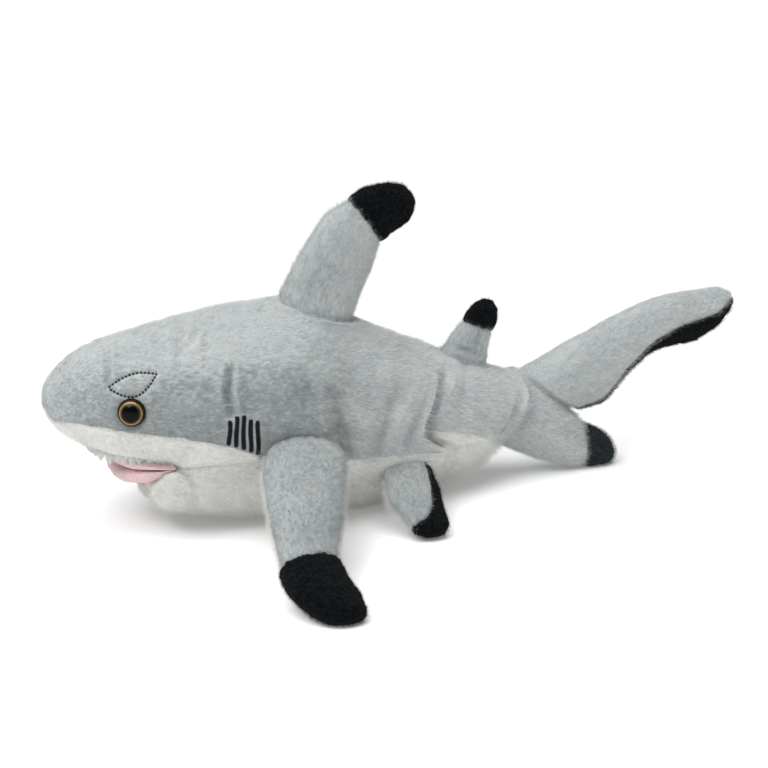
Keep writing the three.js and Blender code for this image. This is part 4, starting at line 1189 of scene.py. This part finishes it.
def sew_all_fins():
    greys, grey_white = ("grey_plush", "grey_plush"), ("grey_plush", "white_plush")
    # The dorsal fins' pile is painted lighter (painted light), the side fins' darker (painted shade).
    fin = upright(DORSAL, 3)
    sew_fin("dorsal", fin, DORSAL_SEAM, ("right", "left"), greys,
            "dorsal_fin", DORSAL_HINGE, unit(np.array(DORSAL_UP)), painted_light_and_shade=0.12)
    fin = upright(SECOND_DORSAL, 5)
    fin.folds = SECOND_DORSAL_FOLDS
    sew_fin("second_dorsal", fin, SECOND_DORSAL_SEAM, ("right", "left"), greys,
            "second_dorsal_fin", SECOND_DORSAL_HINGE, unit(np.array(SECOND_DORSAL_UP)),
            painted_light_and_shade=0.1)
    for side, label, seeds in ((1, "left", (7, 11)), (-1, "right", (9, 13))):
        fin, out = side_fin(PECTORAL, PECTORAL_ROOT, PECTORAL_SLOPE, side, seeds[0])
        hinge = (PECTORAL_HINGE_X, PECTORAL_ROOT[0] * side, PECTORAL_ROOT[1])
        sew_fin(f"pectoral_{label}", fin, PECTORAL_SEAM, ("top", "under"), grey_white,
                f"pectoral_{label}_fin", hinge, out, painted_light_and_shade=-0.12)
        fin, out = side_fin(PELVIC, PELVIC_ROOT, PELVIC_SLOPE, side, seeds[1])
        hinge = (PELVIC_HINGE_X, PELVIC_ROOT[0] * side, PELVIC_ROOT[1])
        sew_fin(f"pelvic_{label}", fin, PELVIC_SEAM, ("top", "under"), grey_white,
                f"pelvic_{label}_fin", hinge, out, PELVIC_SLANT, -0.12)


# ---------- tail fin ----------


def trim_turns(fin):
    """Round each section of the upper lobe, where the black strip ends."""
    widths = np.full(len(fin.reach), TRIM_WIDTHS[0])
    widths[TRIM_ROW:TRIM_ROW + len(TRIM_WIDTHS)] = TRIM_WIDTHS
    half = np.linalg.norm(fin.trail - fin.lead, axis=1) / 2

    def turn(reach):
        share = fin.read(widths, reach) / fin.read(half, reach)
        start = smoothstep(fin.reach[TRIM_ROW] - 1.0, fin.reach[TRIM_ROW] + 10.0, reach)
        return np.arccos(1 - np.clip(share * start, 0.0, 1.7))
    return turn


def sew_caudal():
    upper, lower = upright(UPPER_LOBE, 15), upright(LOWER_LOBE, 17)
    split = lower.reach[LOWER_TIP_SEAM]
    lower.gather = (0.0, split)
    upper.folds = [(LOBE_CREASE, 4.0, 1.5)]
    lower.folds = upper.folds + [(LOBE_CREASE - np.array([2.5, 4.5]), -1.5, 3.2)]
    turn_at = trim_turns(upper)
    span = 50.0
    for label, sign in (("right", 1), ("left", -1)):
        # painted light: the tail fin's pile is painted lighter
        cloth = Cloth(f"caudal_{label}_skin", lambda pile: 0.2)
        rows = rows_between(0.0, upper.reach[-1])
        edge = turn_at(rows)[:, None]
        turns = edge + (np.pi - edge) * edge_turns(0.0, 1.0, span)[None, :]
        upper.sheet(cloth, rows, sign * turns, (0, 0.3, 0.5, 0.5), (0, 1.0, 1.4, 1.2))
        lower.sheet(cloth, rows_between(0.0, split), edge_turns(0.0, sign * np.pi, 42.0),
                    (0, 0.9, 0.5, 0.5), (0, 2.2, 1.2, 1.2))
        piece = cloth.build(GREY)
        nodes = [f"caudal_{label}_panel"] + (["caudal_filling"] if sign > 0 else [])
        finish_piece(piece, nodes)
        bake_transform(piece)
    cloth = Cloth("caudal_trim_skin")
    rows = rows_between(upper.reach[TRIM_ROW], upper.reach[-1])
    turns = turn_at(rows)[:, None] * edge_turns(-1.0, 1.0, 26.0)[None, :]
    upper.sheet(cloth, rows, turns, (0, 0, 0.3, 0.3), (0, 1.0, 1.4, 1.4), swell=0.35, rough=fleece_curls(19))
    piece = finish_piece(cloth.build(BLACK), ["caudal_upper_trim"])
    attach(piece, "caudal")
    cloth = Cloth("caudal_lower_tip_skin")
    turns = np.linspace(0, 2 * np.pi, steps_between(0, 60.0, SPACING), endpoint=False)
    lower.sheet(cloth, rows_between(split, lower.reach[-1]), turns, (0.7, 0, 0, 0), (2.2, 0, 0, 0),
                wrap=True, pole=True, swell=0.5, rough=fleece_curls(21))
    # the lower tip gets the lighter black fleece, a painted sheen
    piece = finish_piece(cloth.build(SHEEN_PAINTED_BLACK), ["caudal_lower_tip"])
    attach(piece, "caudal")


sew_all_fins()
sew_caudal()


# ---------- eyes ----------

def lathe_grid(profile, seat, normal, sides):
    """Turns a profile of (radius, height) about the normal at seat."""
    normal = unit(normal)
    u = unit(np.cross(normal, np.array([1.0, 0.0, 0.0])))
    middle = seat + profile[:, 1:] * normal
    return tube(middle, u, np.cross(normal, u), sides, profile[:, 0], profile[:, 0])


def make_eye(side, label):
    seat, normal = EYE_SEAT.copy(), EYE_NORMAL.copy()
    seat[1] *= side
    normal[1] *= side
    r, dome = EYE["radius"], EYE["dome"]
    rim = np.radians(np.linspace(-90, 40, 10))
    bead = 0.75
    outline = [(1.9, -9.0), (2.0, -8.8), (2.0, -1.2), (r - bead, -1.0)]
    outline += [(r - bead + bead * math.cos(a), bead * math.sin(a)) for a in rim]
    shoulder = outline[-1]
    for a in np.radians(np.linspace(12, 90, 16)):
        outline.append((shoulder[0] * math.cos(a), shoulder[1] + (dome - shoulder[1]) * math.sin(a)))
    profile = np.array(outline)
    grid = lathe_grid(profile, seat, normal, 64)
    out = wrapped_normals(grid, seat)
    share = np.clip(profile[:, 0] / r, 0, 1)
    share[:4] = 1.0
    pile = np.zeros_like(grid)
    pile[..., 0] = share[:, None]
    cloth = Cloth(f"eye_{label}_dome")
    cloth.add(grid[::-1], out[::-1], pile[::-1], wrap=True, pole=grid[0].mean(axis=0))
    fix_to_trunk(cloth.build(EYE_PAINT), f"eye_{label}")
    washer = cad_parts[f"eye_washer_{label}"].data
    washer.materials.clear()
    washer.materials.append(WASHER)


# ---------- mouth ----------

JAW_BACK_X = -118.2
LIP_HEIGHT = 31.8


def lip_line(y):
    """Height of the line between the lips: it rises towards the mouth's corners."""
    return LIP_HEIGHT + 4.6 * (np.abs(y) / 33.0) ** 2


def d_pad(cloth, low, high, reach, half, power, seed):
    """A stuffed lip with a D outline: round in front, straight behind, pointed at the mouth's corners."""
    turns = np.linspace(-np.pi / 2, np.pi / 2, steps_between(0, 2.6 * half, SPACING) + 1)
    front = np.column_stack([-reach * np.cos(turns), half * np.sin(turns)])
    back_y = np.linspace(half, -half, steps_between(0, 2 * half, SPACING * 2) + 1)[1:-1]
    outline = np.concatenate([front, np.column_stack([np.zeros_like(back_y), back_y])])
    middle, tall = (low + high) / 2, (high - low) / 2
    rise = np.radians(np.linspace(-88, 88, steps_between(0, 2 * tall + 2 * reach, SPACING) + 1))
    ring = np.cos(rise) ** power
    z = middle + tall * np.sign(np.sin(rise)) * np.abs(np.sin(rise)) ** 0.85
    anchor = np.array([-reach * 0.25, 0.0])
    flat = anchor + (outline - anchor)[None] * ring[:, None, None]
    grid = np.empty(flat.shape[:2] + (3,))
    grid[..., 0] = JAW_BACK_X + flat[..., 0]
    grid[..., 1] = flat[..., 1]
    corner = np.clip(1 - (np.abs(flat[..., 1]) / half) ** 3.0, 0.02, 1.0) ** 0.9
    grid[..., 2] = lip_line(flat[..., 1]) + z[:, None] * corner
    out = wrapped_normals(grid, np.array([JAW_BACK_X - reach * 0.3, 0.0, LIP_HEIGHT + middle]))
    relief = 0.5 * noise(grid, 9.0, seed) + 0.25 * noise(grid, 3.2, seed + 1)
    relief = relief + 0.05 * noise(grid, 1.4, seed + 2)
    grid = grid + out * (relief * corner)[..., None]
    cloth.add(grid, out, grid, wrap=True, pole=grid[-1].mean(axis=0))


def make_chin():
    """The throat's loose front below the lips: the belly's own section drawn forward and rounded off."""
    cloth = Cloth("chin_skin")
    back, reach, wide, high, low = -112.0, 13.0, 36.8, 36.0, 9.0
    turn = np.linspace(0, np.pi, steps_between(0, 95, SPACING) + 1)
    side = wide * np.sign(np.cos(turn)) * np.abs(np.cos(turn)) ** BELLY_POWER
    drop = high - (high - low) * np.sin(turn) ** BELLY_POWER
    roof_y = np.linspace(-wide, wide, 32)[1:-1]
    roof = np.column_stack([roof_y, high - 7.0 * np.clip(1 - (roof_y / wide) ** 2, 0, 1)])
    outline = np.concatenate([np.column_stack([side, drop]), roof])
    core = 22.0  # height of the line that the section closes in on
    bow = np.radians(np.linspace(0, 88, steps_between(0, 30, SPACING) + 1))
    grid = np.empty((len(bow), len(outline), 3))
    grid[..., 0] = (back - reach * np.sin(bow))[:, None]
    grid[..., 1] = outline[:, 0] * np.cos(bow)[:, None] ** 0.4
    grid[..., 2] = core + (outline[:, 1] - core) * np.cos(bow)[:, None] ** 0.7
    out = wrapped_normals(grid, np.array([back, 0.0, 20.0]))
    relief = 2.1 * noise(grid, 8.0, 35) + 0.9 * noise(grid, 4.2, 36) + 0.14 * noise(grid, 1.4, 37)
    grid = grid + out * (relief + 0.6 - 1.6 * np.cos(bow)[:, None] ** 8)[..., None]
    cloth.add(grid, out, grid, wrap=True, pole=grid[-1].mean(axis=0) + np.array([-0.2, 0, 0]))
    piece = finish_piece(cloth.build(WHITE), ["chin_pad"])
    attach(piece, "jaw")


def make_lips():
    cloth = Cloth("upper_lip_skin")
    d_pad(cloth, -1.0, 8.2, 22.0, 34.2, 0.42, 31)
    piece = finish_piece(cloth.build(PINK), ["upper_lip"])
    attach(piece, "trunk")
    cloth = Cloth("lower_lip_skin")
    d_pad(cloth, -8.2, 1.2, 21.8, 33.4, 0.42, 33)
    piece = finish_piece(cloth.build(PINK), ["lower_lip"])
    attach(piece, "jaw")


TEETH = 25
UP, DOWN = np.array([0.0, 0.0, 1.0]), np.array([0.0, 0.0, -1.0])


def jaw_rim():
    """The upper jaw's edge, from the left corner of the mouth round the front to the right one."""
    edge_x = np.linspace(-120.5, -147.0, 40)
    left = body_point(edge_x, jaw_edge_angle(edge_x))
    half = abs(left[-1, 1])
    front_y = np.linspace(-half, half, 30)[1:-1]
    front_x = -147.0 - 3.0 * (1 - (front_y / half) ** 2)
    roof = curve(BODY, front_x, 3)
    front = np.column_stack([front_x, front_y, roof + (left[-1, 2] - roof) * (front_y / half) ** 2])
    rim = np.concatenate([left, front, left[::-1] * np.array([1.0, -1.0, 1.0])])
    rim[:, 2] += 0.3
    return rim


def sew_tooth(cloth, root, along, length, sway, seed):
    """One ragged point of plush that hangs from its root and thins towards its end."""
    outside = -unit(np.cross(along, UP))
    rows = np.linspace(0, 1, steps_between(0, length, SPACING * 0.7) + 2)
    middle = (
        root
        + DOWN * (rows * length)[:, None]
        + outside * (0.55 * np.sin(rows * np.pi * 0.8))[:, None]
        + along * (sway * rows**2)[:, None]
    )
    wide = 2.3 * (1 - rows) ** 0.9 + 0.12
    thin = 1.15 * (1 - rows) ** 0.6 + 0.12
    tooth = tube(middle, along, outside, 16, wide, thin)
    out = wrapped_normals(tooth, middle[:, None])
    tooth = tooth + out * (0.22 * noise(tooth, 1.3, seed))[..., None]
    cloth.add(tooth, out, tooth, wrap=True, pole=middle[-1] + DOWN * 0.2)


def make_teeth():
    """A roll of plush round the upper jaw's edge, cut into ragged soft teeth."""
    rng = np.random.default_rng(5)
    cloth = Cloth("upper_teeth_skin")
    rim = jaw_rim()
    run = run_along(rim)

    def rim_at(share):
        return place_on(rim, run, share * run[-1])

    path = rim_at(np.linspace(0.0, 1.0, steps_between(0, run[-1], SPACING) + 1))
    outward = -unit(np.cross(unit(np.gradient(path, axis=0)), UP))
    size = 0.9 * (0.25 + 0.75 * np.sin(np.linspace(0.0, np.pi, len(path))) ** 0.3)
    grid = tube(path, outward[:, None], DOWN, 14, size, size * 0.9)
    out = wrapped_normals(grid, path[:, None])
    grid = grid + out * (0.4 * noise(grid, 2.2, 41))[..., None]
    cloth.add(grid, out, grid, wrap=True, pole=path[-1])
    for k, place in enumerate(np.linspace(0.03, 0.97, TEETH)):
        place = place + rng.uniform(-0.007, 0.007)
        along = unit(rim_at(place + 0.01) - rim_at(place - 0.01))
        length = rng.uniform(3.0, 4.6) * (1.0 if k % 3 else 0.8)
        sway = rng.uniform(-0.5, 0.5)
        sew_tooth(cloth, rim_at(place), along, length, sway, 43 + k)
    piece = finish_piece(cloth.build(WHITE), ["upper_teeth"])
    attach(piece, "trunk")


# ---------- embroidery ----------

def on_skin(x, angle, lift):
    """Points on the dressed body, lifted along its normal."""
    p = body_point(x, angle)
    return p + body_normal(x, angle) * (body_relief(p) + lift)[..., None], body_normal(x, angle)


def mirrored(array, side):
    return array * np.array([1.0, float(side), 1.0])


def make_gills(side, label):
    for k, (top, bottom) in enumerate(GILL_SPANS):
        length = top - bottom
        rows = np.linspace(0, 1, steps_between(0, length, 0.22) + 1)
        across = np.linspace(-1, 1, 11)
        z = top + (bottom - top) * rows
        edge = GILL["width"] / 2 * (1 + 0.22 * np.sin(rows * length / 0.62 * np.pi))
        ends = np.clip(np.minimum(rows, 1 - rows) * length / 0.5, 0.35, 1.0) ** 0.5
        sway = 0.25 * np.sin(rows * 5.0 + k) + 0.5 * (1 - rows)
        x = GILL["first"] + GILL["pitch"] * k + sway[:, None] + across[None] * (edge * ends)[:, None]
        angle = angle_at_height(x, z[:, None] + 0 * x)
        ridge = 0.10 * np.sin(rows * length / 0.31 * np.pi)[:, None]
        crown = np.sqrt(np.clip(1 - across**2, 0, 1))[None]
        lift = -0.25 + (0.95 + ridge) * crown * ends[:, None]
        grid, out = on_skin(x, angle, lift)
        grid, out = mirrored(grid, side), mirrored(out, side)
        pile = np.zeros_like(grid)
        pile[..., 0], pile[..., 1] = (rows * length)[:, None], across[None]
        cloth = Cloth(f"gill_{label}_{k + 1}_stitches")
        cloth.add(grid, out, pile)
        under = grid[:, [0, -1]] - out[:, [0, -1]] * 0.4
        cloth.add(under, -out[:, [0, -1]], np.zeros_like(under))
        fix_to_trunk(cloth.build(GILL_THREAD), f"gill_stitch_{label}_{k + 1}")


def make_brow(side, label):
    """Separate stitches round the leaf, each a small twist of thread."""
    x, angle = BROW_PARAMS[:, 0], BROW_PARAMS[:, 1]
    corner, fine = np.arange(len(x)), np.linspace(0, len(x) - 1, 800)
    x, angle = np.interp(fine, corner, x), np.interp(fine, corner, angle)
    points, normals = on_skin(x, angle, 0.15)
    points, normals = mirrored(points, side), mirrored(normals, side)
    arc = run_along(points)
    pitch, length, width = 1.7, 1.25, 0.5
    cloth = Cloth(f"brow_{label}_stitches")
    for start in np.arange(0.3, arc[-1] - length, pitch):
        place = np.linspace(start, start + length, 7)
        middle, normal = place_on(points, arc, place), unit(place_on(normals, arc, place))
        along = unit(np.gradient(middle, axis=0))
        across = unit(np.cross(along, normal))
        swell = np.sin(np.linspace(0.12, np.pi - 0.12, 7)) ** 0.5
        middle = middle + normal * (0.25 * swell)[:, None]
        grid = tube(middle, across[:, None], normal[:, None], 8, swell * width, swell * width)
        out = wrapped_normals(grid, middle[:, None])
        cloth.add(grid, out, place[:, None, None] * np.array([1.0, 0.0, 0.0]), wrap=True, pole=middle[-1])
    fix_to_trunk(cloth.build(BROW_THREAD), f"brow_stitch_{label}")


make_lips()
make_chin()
make_teeth()
for side, label in ((1, "left"), (-1, "right")):
    make_eye(side, label)
    make_gills(side, label)
    make_brow(side, label)


# ---------- floor, light and camera ----------

def make_stage():
    mesh = bpy.data.meshes.new("studio_floor")
    size = 6.0
    corners = [(-size, -size, 0), (size, -size, 0), (size, size, 0), (-size, size, 0)]
    mesh.from_pydata(corners, [], [(0, 1, 2, 3)])
    mesh.materials.append(floor_paper("floor_paper"))
    floor = add_object("studio_floor", mesh)
    floor.location.z = -0.0004
    world = bpy.data.worlds.new("studio")
    world.use_nodes = True
    tree = world.node_tree
    direction = tree.nodes.new("ShaderNodeTexCoord")
    split = tree.nodes.new("ShaderNodeSeparateXYZ")
    tree.links.new(direction.outputs["Generated"], split.inputs[0])
    ceiling = (0.22, 0.22, 0.22)
    tent = ramp(tree, split.outputs[2], [(0.0, WHITEST), (0.13, WHITEST), (0.22, ceiling), (1.0, ceiling)])
    background = tree.nodes["Background"]
    tree.links.new(tent, background.inputs[0])
    background.inputs[1].default_value = 1.0
    bpy.context.scene.world = world


def area_light(name, place, aim, size, power):
    light = bpy.data.lights.new(name, "AREA")
    light.shape = "DISK"
    light.size = size
    light.energy = power
    obj = add_object(name, light)
    obj.location = place
    obj.rotation_euler = (Vector(aim) - Vector(place)).to_track_quat("-Z", "Y").to_euler()


def sun_light(name, toward, spread, strength):
    """A wide overhead softbox far away, so that the floor is lit evenly."""
    light = bpy.data.lights.new(name, "SUN")
    light.angle = math.radians(spread)
    light.energy = strength
    add_object(name, light).rotation_euler = Vector(toward).to_track_quat("Z", "Y").to_euler()


def make_camera():
    azimuth, elevation, distance = math.radians(-20.0), math.radians(19.0), 1.300
    target = Vector((-0.0086, 0.0, 0.05265))
    level = math.cos(elevation)
    away = Vector((math.sin(azimuth) * level, -math.cos(azimuth) * level, math.sin(elevation)))
    data = bpy.data.cameras.new("camera")
    data.sensor_width = 36.0
    data.lens = 131.9
    data.clip_end = 50.0
    camera = add_object("camera", data)
    camera.location = target + away * distance
    camera.rotation_euler = (-away).to_track_quat("-Z", "Y").to_euler()
    bpy.context.scene.camera = camera


make_stage()
sun_light("softbox", (-0.28, -0.16, 1.0), 65.0, 3.5)
area_light("key", (-1.0, -0.9, 1.3), (0, 0, 0.05), 0.6, 8.0)
make_camera()
bpy.context.scene.view_settings.view_transform = "Standard"
